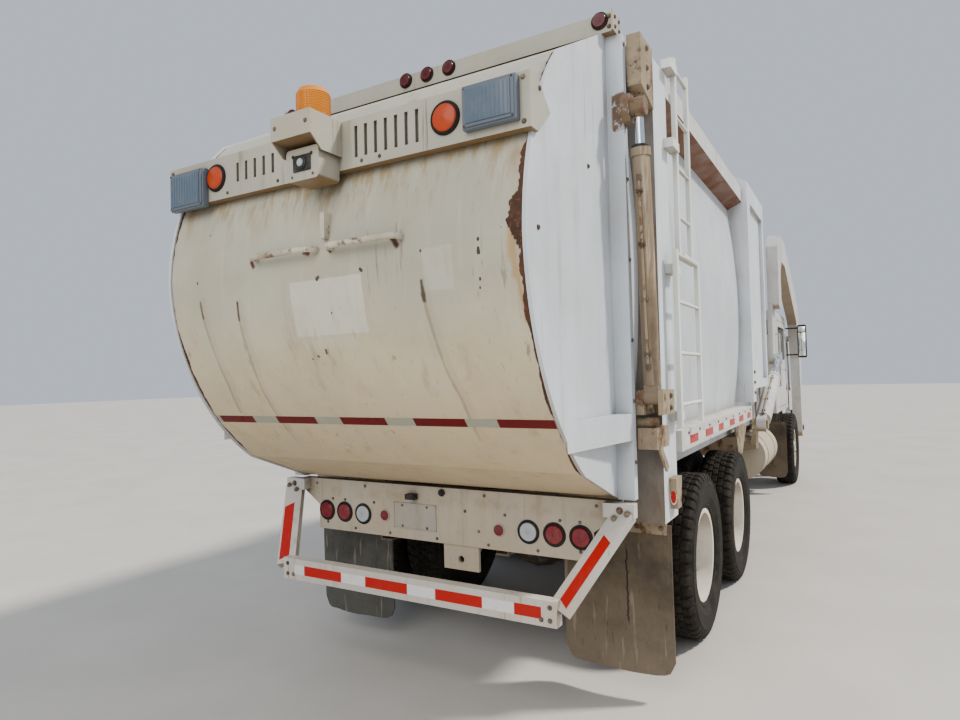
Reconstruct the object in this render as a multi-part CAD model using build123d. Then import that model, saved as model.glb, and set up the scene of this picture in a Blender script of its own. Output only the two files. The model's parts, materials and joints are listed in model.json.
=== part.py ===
from build123d import *
import math
import os

# A front-loading garbage truck at real size, in millimetres: X forwards, Y to the left, Z up.
# Stations along X count from the rear light panel. placed() shifts them to mid-length, on the
# ground, which is the origin of the finished vehicle.

# Clearances
SEAT_GAP = 0.3
SHAFT_GAP = 0.05
PANEL_GAP = 8.0
SIDE_GAP = 20.0

# Wheels
TYRE_RADIUS = 531.0
TYRE_WIDTH = 280.0
TREAD_WIDTH = 226.0
TYRE_BULGE_RADIUS = 426.0
TREAD_PITCHES = 48
WHEEL_OUTER_Y = 1220.0
WHEEL_Y = WHEEL_OUTER_Y - TYRE_WIDTH / 2
TWIN_SPACING = 335.0
TWIN_MIDDLE_Y = WHEEL_Y - TWIN_SPACING / 2
RIM_RADIUS = 286.0
RIM_WIDTH = 216.0
RIM_WALL = 12.0
RIM_LIP = 20.0
BARREL_RADIUS = RIM_RADIUS - 16.0
NAVE_RADIUS = 235.0
HAND_HOLES = 5
HAND_HOLE_RADIUS = 26.0
HAND_HOLE_CIRCLE = 193.0
HUB_RADIUS = 110.0
HUB_FLANGE = 158.0
HUB_FLANGE_DEPTH = 40.0
HUB_REACH = 200.0
HUB_NOSE = 120.0
HUB_CAP = 30.0
HUB_CAP_RADIUS = 75.0
DRUM_RADIUS = 205.0
DRUM_FACE = 60.0
SPINDLE_RADIUS = 45.0
SPINDLE_REACH = 50.0
FRONT_DISC_OFFSET = 70.0
FRONT_HUB_INNER = 60.0
FRONT_HUB_OUTER = 110.0
FRONT_AXLE_X = 7954.0
REAR_AXLES_X = (1349.0, 2700.0)
AXLE_TUBE_RADIUS = 75.0
BANJO_RADIUS = 215.0
PINION_REACH = 330.0
CHAMBER_Y = 510.0
CHAMBER_RISE = 130.0
BEAM_Y = (370.0, 430.0)
BEAM_Z = (680.0, 720.0)
SHAFT_RADIUS = 45.0
KINGPIN_Y = 900.0
KINGPIN_RADIUS = 22.0
KINGPIN_BOSS = 45.0
KINGPIN_HALF = 60.0

# Chassis frame
RAIL_OUTER_Y = 440.0
RAIL_FLANGE = 80.0
RAIL_BOTTOM = 760.0
RAIL_TOP = 1030.0
RAIL_PLATE = 10.0
RAIL_FRONT_X = 8560.0
CROSSMEMBER_STATIONS = (350.0, 2025.0, 3500.0, 4900.0, 6300.0, 8450.0)
CROSSMEMBER_DEPTH = 120.0
SILL_TOP = 1130.0
SPRING_Y = (365.0, 435.0)
SPRING_HALF = 700.0
SPRING_EYE_Z = 700.0
SPRING_MIDDLE_Z = 600.0
SPRING_LEAF = 18.0
SPRING_LEAVES = (1.0, 0.7, 0.4)
ENGINE_X = (7060.0, 8260.0)
ENGINE_Z = (600.0, 1095.0)
ENGINE_HALF = 330.0
ENGINE_MOUNTS_X = (7250.0, 8150.0)
GEARBOX_X = (6400.0, ENGINE_X[0])
GEARBOX_Z = 740.0
GEARBOX_RADIUS = 230.0
RADIATOR_X = (8290.0, 8380.0)
TANK_X = (4480.0, 5600.0)
TANK_STRAPS_X = (4750.0, 5350.0)
DRUM_TANK_Y = 950.0
DRUM_TANK_Z = 800.0
DRUM_TANK_RADIUS = 250.0
FUEL_TANK_Y = (520.0, 1120.0)
FUEL_TANK_Z = (480.0, 1000.0)
FUEL_TANK_ROUND = 60.0

# Rear light panel and bumper
PANEL_TOP = 1107.0
PANEL_BOTTOM = 790.0
PANEL_FOLD = 1000.0
PANEL_HALF_LOW = 930.0
PANEL_PLATE = 10.0
BUMPER_X = -360.0
BUMPER_DEPTH = 60.0
BUMPER_BOTTOM = 574.0
BUMPER_TOP = 695.0
BUMPER_HALF = 879.0
BUMPER_ARM = 110.0
LAMP_Z = 909.0
LAMP_YS = (864.0, 717.0, 567.0)
LAMP_RADIUS = 52.0
GROMMET_RADIUS = 64.0
PLATE_Y = 175.0
PLATE_Z = 925.0
PLATE_HOLE_Y = 177.8
PLATE_HOLE_Z = 120.6
PLATE_HOLE_RADIUS = 3.5
HITCH_Y = (-250.0, -20.0)
HITCH_Z = (650.0, 800.0)

# Load body
BODY_REAR_X = 60.0
SHELL_FRONT_X = 4750.0
WALL = 20.0
SIDE_BULGE_HALF = 1115.0
FLOOR_HALF = SIDE_BULGE_HALF - 105.0
SIDE_TOP_HALF = SIDE_BULGE_HALF - 83.0
SIDE_TOP_Z = 3340.0
ROOF_Z = 3460.0
FRAME_STANDOFF = 105.0
FRAME_HALF = SIDE_BULGE_HALF + FRAME_STANDOFF
FRAME_ROOT = SIDE_BULGE_HALF - 215.0
RING_X = (280.0, 550.0)
RING_FOOT_Z = 950.0
RING_FOOT_WIDTH = 210.0
RING_TOP = 3500.0
RING_CHAMFER = (55.0, 90.0)
ROOF_RAIL_HALF = FRAME_HALF - 50.0
ROOF_RAIL_Z = (3370.0, 3560.0)
ROOF_RAIL_ROOT = (SIDE_BULGE_HALF - 95.0, 3300.0)
ROOF_RAIL_CHAMFER = 55.0
MID_POST_X = (3600.0, 3780.0)
MID_POST_BOTTOM = 1430.0
MID_POST_TOP = 3565.0
MID_POST_CAP = (120.0, 75.0)
BAY_BOTTOM = 1560.0
BAY_INSET = 35.0
BAY_BORDER = 90.0
SHELF_X = (690.0, 3470.0)
SHELF_Z = (1280.0, 1400.0)
SHELF_PLATE = 12.0

# Hopper and packer
HOPPER_HALF = SIDE_BULGE_HALF - 65.0
HOPPER_FRONT_X = 6050.0
HOPPER_RIM_Z = 3300.0
HOPPER_RIB_X = (4960.0, 5330.0, 5700.0)
HOPPER_RIB_WIDTH = 70.0
HOPPER_RIB_DEPTH = 12.0
HOPPER_RIM = 60.0
PACKER_X = 5560.0
PACKER_PLATE = 50.0
PACKER_FOOT = 400.0
PACKER_TOP = 2100.0

# Ladder
LADDER_LIFT = 20.0
LADDER_BAR = 25.0
LADDER_HALF_BAR = 20.0
LADDER_UPPER_X = (610.0, 910.0)
LADDER_UPPER_Z = (2380.0, 3520.0)
LADDER_UPPER_RUNGS = (2620.0, 2900.0, 3190.0, 3460.0)
LADDER_LOWER_X = (430.0, 950.0)
LADDER_LOWER_Z = (1440.0, 2400.0)
LADDER_LOWER_RUNGS = (1560.0, 1840.0, 2120.0, 2380.0)
LADDER_FEET_Z = (1500.0, 2300.0, 3000.0, 3440.0)
RUNG_RADIUS = 11.0

# Mud flaps
FLAP_Y = (FRAME_HALF - 600.0, FRAME_HALF + 10.0)
FLAP_Z = (130.0, 930.0)
FLAP_X = 345.0
FLAP_THICKNESS = 12.0
FRONT_FLAP_Y = (800.0, 1180.0)
FRONT_FLAP_Z = (220.0, 1000.0)

# Tailgate
GATE_HALF = SIDE_BULGE_HALF - 50.0
PANEL_HALF_TOP = GATE_HALF + 10.0
GATE_SIDE_PLATE = 16.0
GATE_SKIN = 14.0
GATE_SKIN_INSET = 8.0
GATE_FRONT_X = 50.0
GATE_TOP = 3425.0
GATE_BOTTOM = 1117.0
GATE_FLOOR_X = 13.0
GATE_FLOOR_END = (-430.0, 1290.0)
GATE_LOWER_ARC = (-808.0, 1719.0)
GATE_BELLY = (-960.0, 2278.0)
GATE_UPPER_ARC = (-858.0, 2735.0)
GATE_SHOULDER = (-598.0, 3118.0)
FLANGE_WIDTH = 85.0
FLANGE_HALF = GATE_HALF + FLANGE_WIDTH
LEDGE_X = -620.0
LEDGE_Z = (1410.0, 1540.0)
HINGE_X = 200.0
HINGE_Z = 3440.0
HINGE_PIN_RADIUS = 25.0
HINGE_LUG_Y = (900.0, 940.0)
LIGHT_BAR_X = -930.0
LIGHT_BAR_FRONT_X = -700.0
LIGHT_BAR_Z = (2676.0, 2893.0)
LIGHT_BAR_END = 18.0
LIGHT_BAR_HALF = GATE_HALF + LIGHT_BAR_END
LIGHT_BAR_END_X = -860.0
LOUVRE_HALF = 9.0
LOUVRE_DEPTH = 18.0
LOUVRES_LEFT = (293.0, 62.5)
LOUVRES_LEFT_COUNT = 5
LOUVRES_LEFT_Z = (2745.0, 2840.0)
LOUVRES_RIGHT = (-230.0, -55.0)
LOUVRES_RIGHT_COUNT = 7
LOUVRES_RIGHT_Z = (2720.0, 2860.0)
ROUND_LAMP = (702.0, 2789.0, 62.0)
WORK_LAMP_LEFT = ((765.0, 1030.0), (2650.0, 2850.0))
WORK_LAMP_RIGHT = ((-1040.0, -800.0), (2705.0, 2880.0))
WORK_LAMP_DEPTH = 50.0
HEADER_X = (-50.0, 50.0)
HEADER_TOP = GATE_TOP + 95.0
HEADER_HALF = 1120.0
HEADER_PLATE = 8.0
HEADER_LAMP_YS = (1072.0, 134.0, -16.0, -166.0, -1058.0)
HEADER_LAMP_Z = HEADER_TOP - 32.0
HEADER_LAMP_RADIUS = 38.0
BEACON_BOX_X = -1130.0
BEACON_BOX_Y = (-150.0, 84.0)
BEACON_CHEEK = 8.0
CAMERA_BOX_X = -1060.0
CAMERA_BOX_Y = (-130.0, 64.0)
CAMERA_BOX_Z = 2620.0
BEACON_X = -985.0
BEACON_Y = -33.0
BEACON_HEIGHT = 157.0
BEACON_RADIUS = 85.0
GRIP_X = -1000.0
GRIP_SEAT_X = -865.0
GRIP_Z = 2332.0
GRIP_LEFT = (-5.0, 387.0)
GRIP_RIGHT = (-483.0, -96.0)
GRIP_RADIUS = 14.0
GRIP_BEND = 32.0
UPRIGHT_GRIP_Y = -62.0
UPRIGHT_GRIP_Z = (2374.0, 2490.0)
HINGE_BOX_X = 60.0
HINGE_BOX_Z = (3120.0, 3440.0)
HINGE_BOX_WIDTH = 70.0

# Tailgate rams: pins as (x, z) at rest
GLAND = 40.0
GLAND_RIM = 6.0
GATE_RAM_BASE = (100.0, 1620.0)
GATE_RAM_EYE = (0.0, 3040.0)
GATE_EAR_WIDTH = 40.0
GATE_EAR_HALF = 70.0
GATE_EAR_Y = FLANGE_HALF + GATE_EAR_WIDTH
GATE_RAM_WIDTH = 70.0
GATE_RAM_Y = GATE_EAR_Y + GATE_RAM_WIDTH / 2
GATE_RAM_RADIUS = 42.0
GATE_ROD_RADIUS = 22.0
GATE_ROD_EYE = 45.0
GATE_PIN_RADIUS = 18.0
GATE_BARREL_LENGTH = 1220.0
GATE_ROD_INNER = 480.0
GATE_CLEVIS_Z = (1530.0, 1650.0)
GATE_CLEVIS_PLATE = 25.0
GATE_LOCK_Z = (1360.0, 1465.0)
GATE_LOCK_TUBE_Z = 1487.0
GATE_LOCK_TUBE_RADIUS = 28.0

# Cab
CAB_REAR_X = 6950.0
CAB_FRONT_X = 8700.0
CAB_HALF = 1065.0
CAB_FLOOR_Z = 1120.0
CAB_BELT_Z = 1750.0
CAB_ROOF_Z = 2620.0
CAB_RAKE = 110.0
CAB_WALL = 45.0
CAB_ROUND = 100.0
CAB_MOUNTS_X = (7050.0, 8480.0)
WINDSCREEN_Z = (1800.0, 2470.0)
WINDSCREEN_HALF = 940.0
REAR_WINDOW_HALF = 600.0
REAR_WINDOW_Z = (1900.0, 2400.0)
GLASS = 8.0
DOOR_X = (7330.0, 8430.0)
DOOR_Z = (1180.0, 2470.0)
DOOR_WINDOW_X = (7420.0, 8330.0)
DOOR_WINDOW_Z = (1880.0, 2380.0)
DOOR_WINDOW_ROUND = 60.0
DOOR_HINGE_X = 8430.0
DOOR_HINGE_Y = CAB_HALF + 10.0
DOOR_HINGE_ZS = (1450.0, 2250.0)
DOOR_HINGE_RADIUS = 10.0
DOOR_PIN_RADIUS = 6.0
FRONT_BUMPER_DEPTH = 100.0
FRONT_BUMPER_Z = (520.0, 900.0)
TOW_EYE_Y = 560.0
TOW_EYE_Z = 470.0
TOW_EYE_X = (8730.0, 8760.0)
TOW_EYE_RADIUS = 20.0
HEADLAMP_Y = (620.0, 900.0)
HEADLAMP_Z = (700.0, 860.0)
HEADLAMP_DEPTH = 15.0
GRILLE_DEPTH = 30.0
GRILLE_HALF = 600.0
GRILLE_Z = (1000.0, 1600.0)
GRILLE_BORDER = 40.0
GRILLE_PITCH = 75.0
STEP_X = (CAB_REAR_X, 7290.0)
STEP_ROOT = 700.0
STEP_PLATE = 20.0
STEP_Z = (450.0, 760.0)
MIRROR_X = (8560.0, 8620.0)
MIRROR_Y = (CAB_HALF + 175.0, CAB_HALF + 305.0)
MIRROR_Z = (1920.0, 2450.0)
MIRROR_BAR = 12.0
SEAT_X = (7150.0, 7750.0)
SEAT_Y = 620.0
SEAT_HALF = 240.0
SEAT_HEIGHT = 420.0
SEAT_BACK = 560.0
HUMP_FRONT_X = 7700.0
HUMP_HEIGHT = 520.0
DASH_X = 8300.0
DASH_TOP = 1700.0
WHEEL_AT = (8120.0, SEAT_Y, 1830.0)
WHEEL_GRIP = 220.0
WHEEL_TILT = 35.0
WHEEL_COLUMN = 300.0

# Lift arms, which straddle the wider of cab and hopper
ARM_WIDTH = 140.0
CRANK_WIDTH = 59.7
ARM_INNER_Y = max(CAB_HALF, HOPPER_HALF + 15.0) + SIDE_GAP
ARM_OUTER_Y = ARM_INNER_Y + ARM_WIDTH
CRANK_OUTER_Y = ARM_INNER_Y + CRANK_WIDTH
ARM_PIVOT = (6200.0, 2300.0)
ARM_CRANK = (6130.0, 1890.0)
TORQUE_TUBE_RADIUS = 100.0
BEARING_Y = (780.0, 880.0)
ARM_RAM_BASE = (4350.0, 1165.0)
ARM_RAM_WIDTH = 90.0
ARM_RAM_Y = CRANK_OUTER_Y + SEAT_GAP + ARM_RAM_WIDTH / 2
ARM_RAM_RADIUS = 80.0
ARM_ROD_RADIUS = 40.0
ARM_PIN_RADIUS = 35.0
ARM_ROD_EYE = 75.0
ARM_BARREL_LENGTH = 1253.0
ARM_ROD_INNER = 520.0
ARM_SPLIT_Z = 2540.0
ARM_KNEE_Z = 1900.0
ARM_ROUND = 80.0

# Forks
FORK_PIVOT = (9200.0, 750.0)
FORK_BOSS_RADIUS = 150.0
FORK_TUBE_RADIUS = 70.0
FORK_PIN_RADIUS = 45.0
FORK_TIP_Z = 2050.0
FORK_Y = 880.0
FORK_HALF_WIDTH = 35.0
FORK_FACE_X = 9270.0
FORK_CRANK = (9180.0, 1000.0)
FORK_RAM_BASE = (8990.0, 2250.0)
FORK_RAM_Y = ARM_INNER_Y - 75.0
FORK_RAM_WIDTH = 80.0
FORK_CRANK_Y = (FORK_RAM_Y + FORK_RAM_WIDTH / 2 + SEAT_GAP, ARM_INNER_Y - 5.0)
FORK_RAM_RADIUS = 45.0
FORK_ROD_RADIUS = 25.0
FORK_RAM_PIN_RADIUS = 25.0
FORK_ROD_EYE = 45.0
FORK_BARREL_LENGTH = 880.0
FORK_ROD_INNER = 400.0

# Middle of the whole length
MID_STATION = (BEACON_BOX_X + FORK_PIVOT[0] + FORK_BOSS_RADIUS) / 2


def box(x, y, z):
    """A block between the low and high value of each of three ranges."""
    size = (x[1] - x[0], y[1] - y[0], z[1] - z[0])
    centre = ((x[0] + x[1]) / 2, (y[0] + y[1]) / 2, (z[0] + z[1]) / 2)
    return Pos(*centre) * Box(*size)


def side_prism(edges, y_low, y_high):
    """Extrude a closed outline in the XZ plane along Y."""
    return Pos(0, y_low, 0) * extrude(make_face(edges), amount=y_high - y_low, dir=(0, 1, 0))


def side_outline(points):
    """Straight outline in the XZ plane through (x, z) points."""
    return Polyline([(x, 0, z) for x, z in points], close=True)


def rounded_outline(points, radius):
    """Outline in the XZ plane with every corner rounded."""
    return FilletPolyline([(x, 0, z) for x, z in points], radius=radius, close=True)


def cross_prism(points, x_low, x_high):
    """Extrude an outline of (y, z) points along X."""
    face = make_face(Polyline([(0, y, z) for y, z in points], close=True))
    return Pos(x_low, 0, 0) * extrude(face, amount=x_high - x_low, dir=(1, 0, 0))


def turned(profile):
    """Turn an outline of (radius, y) points about the Y axis."""
    return revolve(make_face(Polyline([(r, y, 0) for r, y in profile], close=True)), axis=Axis.Y)


def rod_y(x, z, radius, y_low, y_high):
    return Pos(x, (y_low + y_high) / 2, z) * Rot(90, 0, 0) * Cylinder(radius, y_high - y_low)


def rod_x(y, z, radius, x_low, x_high):
    return Pos((x_low + x_high) / 2, y, z) * Rot(0, 90, 0) * Cylinder(radius, x_high - x_low)


def rod_z(x, y, radius, z_low, z_high):
    return Pos(x, y, (z_low + z_high) / 2) * Cylinder(radius, z_high - z_low)


def rod_between(start, end, radius):
    """A round bar from one point to another."""
    run = Vector(*end) - Vector(*start)
    bar = Cylinder(radius, run.length, align=(Align.CENTER, Align.CENTER, Align.MIN))
    return Plane(origin=start, z_dir=run) * bar


def bent_pipe(points, bend, radius):
    """A round pipe along straight runs joined by bends."""
    path = FilletPolyline(points, radius=bend)
    section = Plane(origin=path @ 0, z_dir=path % 0) * Circle(radius)
    return sweep(section, path)


def mirrored(shape):
    return mirror(shape, about=Plane.XZ)


def pair(shape):
    """A left piece with its right-hand twin."""
    return [shape, mirrored(shape)]


def fused(shapes):
    first, *rest = shapes
    for shape in rest:
        first = first + shape
    return first


def placed(shapes):
    """Bring shapes to the origin at mid-length and gather them in one compound."""
    solids = []
    for shape in shapes:
        solids.extend(shape.solids())
    moved = [Pos(-MID_STATION, 0, 0) * solid for solid in solids]
    return moved[0] if len(moved) == 1 else Compound(children=moved)


# Chassis

def rail():
    """One C-section frame rail, open towards the middle."""
    inner = RAIL_OUTER_Y - RAIL_FLANGE
    outer = box((PANEL_PLATE, RAIL_FRONT_X), (inner, RAIL_OUTER_Y), (RAIL_BOTTOM, RAIL_TOP))
    hollow = box(
        (PANEL_PLATE - 1, RAIL_FRONT_X + 1),
        (inner - 1, RAIL_OUTER_Y - RAIL_PLATE),
        (RAIL_BOTTOM + RAIL_PLATE, RAIL_TOP - RAIL_PLATE),
    )
    return outer - hollow


def chassis_frame():
    parts = [rail(), mirrored(rail())]
    web = RAIL_OUTER_Y - RAIL_PLATE
    half = CROSSMEMBER_DEPTH / 2
    middle = (RAIL_BOTTOM + RAIL_TOP) / 2
    for station in CROSSMEMBER_STATIONS:
        parts.append(box((station - half, station + half), (-web, web), (middle - 75, middle + 75)))
    sill_y = (RAIL_OUTER_Y - RAIL_FLANGE, RAIL_OUTER_Y)
    sill = box((BODY_REAR_X, HOPPER_FRONT_X), sill_y, (RAIL_TOP, SILL_TOP))
    parts.extend(pair(sill))
    for x in CAB_MOUNTS_X:
        parts.extend(pair(box((x - 60, x + 60), sill_y, (RAIL_TOP, CAB_FLOOR_Z))))
    for x in ENGINE_MOUNTS_X:
        arm = box((x - 40, x + 40), (ENGINE_HALF, web + 5), (RAIL_BOTTOM + 40, RAIL_BOTTOM + 100))
        parts.extend(pair(arm))
    return fused(parts)


def rear_panel():
    """The folded plate across the tail that carries the lamps, with the tow bracket below it."""
    panel = cross_prism([
        (-PANEL_HALF_LOW, PANEL_BOTTOM), (PANEL_HALF_LOW, PANEL_BOTTOM), (PANEL_HALF_LOW, PANEL_FOLD - 60),
        (PANEL_HALF_TOP, PANEL_FOLD + 40), (PANEL_HALF_TOP, PANEL_TOP), (-PANEL_HALF_TOP, PANEL_TOP),
        (-PANEL_HALF_TOP, PANEL_FOLD + 40), (-PANEL_HALF_LOW, PANEL_FOLD - 60),
    ], 0, PANEL_PLATE)
    width = (-PANEL_HALF_TOP, PANEL_HALF_TOP)
    panel += box((0, BODY_REAR_X), width, (PANEL_TOP - PANEL_PLATE, PANEL_TOP))
    for side in (-1, 1):
        for y in LAMP_YS:
            panel -= rod_x(side * y, LAMP_Z, LAMP_RADIUS, -1, PANEL_PLATE + 1)
        for end in (-1, 1):
            y = PLATE_Y + side * PLATE_HOLE_Y / 2
            z = PLATE_Z + end * PLATE_HOLE_Z / 2
            panel -= rod_x(y, z, PLATE_HOLE_RADIUS, -1, PANEL_PLATE + 1)
    hitch = box((PANEL_PLATE, 3 * PANEL_PLATE), HITCH_Y, HITCH_Z)
    hitch -= rod_x(sum(HITCH_Y) / 2, HITCH_Z[0] + 60, TOW_EYE_RADIUS, 0, 4 * PANEL_PLATE)
    return [panel, hitch]


def rear_bumper():
    """Underride bar on two slanted arms from the panel's upper corners."""
    back = BUMPER_X + BUMPER_DEPTH
    bar = box((BUMPER_X, back), (-BUMPER_HALF, BUMPER_HALF), (BUMPER_BOTTOM, BUMPER_TOP))
    top = Vector(-BUMPER_DEPTH / 2, PANEL_HALF_TOP + 35, PANEL_TOP - 50)
    foot = Vector(BUMPER_X + BUMPER_DEPTH / 2, BUMPER_HALF, BUMPER_BOTTOM + 70)
    run = foot - top
    arm = Plane(origin=top, x_dir=(0, 1, 0.35), z_dir=run) * Rectangle(BUMPER_ARM, 50)
    arm = extrude(arm, amount=run.length)
    head_y = (PANEL_HALF_TOP - 70, PANEL_HALF_TOP + 85)
    head = box((-BUMPER_DEPTH, 0), head_y, (PANEL_TOP - 70, PANEL_TOP))
    arm -= box((0, BUMPER_DEPTH), (0, 2 * PANEL_HALF_TOP), (0, 2 * PANEL_TOP))
    return fused([bar, arm, head] + [mirrored(arm), mirrored(head)])


def lamp_disc(y, z, x_face, radius, rim_radius, depth):
    """A round lamp that fills its hole, with a raised grommet against the plate."""
    body = rod_x(y, z, radius - SEAT_GAP, x_face - depth, x_face + depth)
    body += rod_x(y, z, rim_radius, x_face - depth / 2, x_face)
    return body


def truck_lamps():
    """Three round lamps on each side of the rear panel and the headlamps in the front bumper."""
    lamps = []
    for y in LAMP_YS:
        for side in (-1, 1):
            lamps.append(lamp_disc(side * y, LAMP_Z, 0.0, LAMP_RADIUS, GROMMET_RADIUS, 14.0))
    face = CAB_FRONT_X + FRONT_BUMPER_DEPTH
    y = (HEADLAMP_Y[0] + SEAT_GAP, HEADLAMP_Y[1] - SEAT_GAP)
    z = (HEADLAMP_Z[0] + SEAT_GAP, HEADLAMP_Z[1] - SEAT_GAP)
    lamps.extend(pair(box((face - HEADLAMP_DEPTH, face + 8), y, z)))
    return lamps


# Load body

def shell_section(inset):
    """Half-outline of the load body in the YZ plane, closed at the middle."""
    bottom = SILL_TOP + inset
    side_foot = (FLOOR_HALF - inset, bottom)
    side_mid = (SIDE_BULGE_HALF - inset, (bottom + SIDE_TOP_Z) / 2 + 60)
    side_top = (SIDE_TOP_HALF - inset, SIDE_TOP_Z - inset)
    roof = (0.0, ROOF_Z - inset)
    edges = [
        Line((0, 0, bottom), (0, *side_foot)),
        ThreePointArc((0, *side_foot), (0, *side_mid), (0, *side_top)),
        Line((0, *side_top), (0, *roof)),
        Line((0, *roof), (0, 0, bottom)),
    ]
    return make_face(edges)


def full_body(x_low, x_high, inset):
    half = Pos(x_low, 0, 0) * extrude(shell_section(inset), amount=x_high - x_low, dir=(1, 0, 0))
    return half + mirrored(half)


def solid_body():
    """The load body's outer form, for what is cut to stand on it."""
    return full_body(BODY_REAR_X - 1, SHELL_FRONT_X + 1, 0)


def body_shell():
    """Hollow load body, open to the tailgate and to the hopper."""
    outer = full_body(BODY_REAR_X, SHELL_FRONT_X, 0)
    return outer - full_body(BODY_REAR_X - 1, SHELL_FRONT_X + 1, WALL)


def rear_ring():
    """Ring round the body's rear end, with its upper corners cut and two legs below the sill."""
    cut_y, cut_z = RING_CHAMFER
    half = cross_prism([
        (0, SILL_TOP), (FRAME_HALF, SILL_TOP), (FRAME_HALF, RING_TOP - cut_z),
        (FRAME_HALF - cut_y, RING_TOP), (0, RING_TOP),
    ], *RING_X)
    ring = (half + mirrored(half)) - solid_body()
    leg = box(RING_X, (FRAME_HALF - RING_FOOT_WIDTH, FRAME_HALF), (RING_FOOT_Z, SILL_TOP))
    return fused([ring, leg, mirrored(leg)])


def side_bay():
    """Middle post and the flush bay ahead of it, with a sloping cap and a recessed panel."""
    cap_y, cap_z = MID_POST_CAP
    outline = [
        (FRAME_ROOT, BAY_BOTTOM), (FRAME_HALF, BAY_BOTTOM), (FRAME_HALF, MID_POST_TOP),
        (FRAME_HALF - cap_y, MID_POST_TOP + cap_z), (FRAME_ROOT, MID_POST_TOP + cap_z),
    ]
    bay = cross_prism(outline, MID_POST_X[0], SHELL_FRONT_X)
    post = box(MID_POST_X, (FRAME_ROOT, FRAME_HALF), (MID_POST_BOTTOM, BAY_BOTTOM))
    panel_x = (MID_POST_X[1], SHELL_FRONT_X - BAY_BORDER)
    panel_z = (BAY_BOTTOM + BAY_BORDER, MID_POST_TOP - 2 * BAY_BORDER)
    recess = box(panel_x, (FRAME_HALF - BAY_INSET, FRAME_HALF + 1), panel_z)
    return (bay + post) - recess - solid_body()


def body_frames():
    return [rear_ring()] + pair(side_bay())


def roof_rails():
    """Folded rails along the roof's edges, from the rear ring to the middle posts."""
    rail_profile = cross_prism([
        (FRAME_ROOT, ROOF_RAIL_ROOT[1]), ROOF_RAIL_ROOT, (ROOF_RAIL_HALF, ROOF_RAIL_Z[0]),
        (ROOF_RAIL_HALF, ROOF_RAIL_Z[1] - ROOF_RAIL_CHAMFER),
        (ROOF_RAIL_HALF - ROOF_RAIL_CHAMFER, ROOF_RAIL_Z[1]), (FRAME_ROOT, ROOF_RAIL_Z[1]),
    ], RING_X[1], MID_POST_X[0])
    return pair(rail_profile - solid_body())


def wheel_shelves():
    """Shelves over the twin wheels, with a front apron and three webs."""
    depth = (FRAME_ROOT, FRAME_HALF)
    shelf = box(SHELF_X, depth, (SHELF_Z[1] - SHELF_PLATE, SHELF_Z[1]))
    shelf += box(SHELF_X, (FRAME_HALF - SHELF_PLATE, FRAME_HALF), SHELF_Z)
    for x in (SHELF_X[0], sum(SHELF_X) / 2, SHELF_X[1] - SHELF_PLATE):
        shelf += box((x, x + SHELF_PLATE), depth, SHELF_Z)
    return pair(shelf - solid_body())


def hopper():
    """Open-topped loading hopper between body and cab, with ribbed walls and a rim."""
    half = HOPPER_HALF
    length = (SHELL_FRONT_X, HOPPER_FRONT_X)
    outer = box(length, (-half, half), (SILL_TOP, HOPPER_RIM_Z))
    for x in HOPPER_RIB_X:
        rib_x = (x, x + HOPPER_RIB_WIDTH)
        reach = half + HOPPER_RIB_DEPTH
        outer += box(rib_x, (-reach, reach), (SILL_TOP + HOPPER_RIM, HOPPER_RIM_Z - HOPPER_RIM))
    lip = half + HOPPER_RIB_DEPTH
    outer += box(length, (-lip, lip), (HOPPER_RIM_Z - HOPPER_RIM, HOPPER_RIM_Z))
    inner = box(
        (SHELL_FRONT_X - 1, HOPPER_FRONT_X - WALL),
        (-half + WALL, half - WALL),
        (SILL_TOP + WALL, HOPPER_RIM_Z + 1),
    )
    return outer - inner


def arm_bearings():
    """Two bearing brackets on the hopper's front wall that hold the torque tube."""
    x, z = ARM_PIVOT
    radius = 1.5 * TORQUE_TUBE_RADIUS
    low, high = BEARING_Y
    bracket = box((HOPPER_FRONT_X, x), BEARING_Y, (z - radius, z + radius)) + rod_y(x, z, radius, low, high)
    bracket -= rod_y(x, z, TORQUE_TUBE_RADIUS + SHAFT_GAP, low - 1, high + 1)
    return pair(bracket)


def packer_blade():
    """Blade in the hopper that pushes the load rearwards, retracted to the front."""
    half = HOPPER_HALF - WALL - PANEL_GAP
    floor = SILL_TOP + WALL + SEAT_GAP
    back = PACKER_X + PACKER_PLATE
    foot = back + PACKER_FOOT
    web = side_outline([(back, floor), (foot, floor), (foot, floor + 60), (back, PACKER_TOP - 60)])
    parts = [box((PACKER_X, back), (-half, half), (floor, PACKER_TOP))]
    for y in (-0.85 * half, 0.0, 0.85 * half):
        parts.append(side_prism(web, y - 30, y + 30))
    return fused(parts)


def ladder_stage(x_rails, z_range, rungs, back):
    """One ladder stage on the right side: two flat rails with round rungs between them."""
    front = back + LADDER_BAR
    middle = -(back + front) / 2
    parts = []
    for x in x_rails:
        parts.append(box((x - LADDER_HALF_BAR, x + LADDER_HALF_BAR), (-front, -back), z_range))
    for z in rungs:
        parts.append(rod_x(middle, z, RUNG_RADIUS, *x_rails))
    return parts


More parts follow.
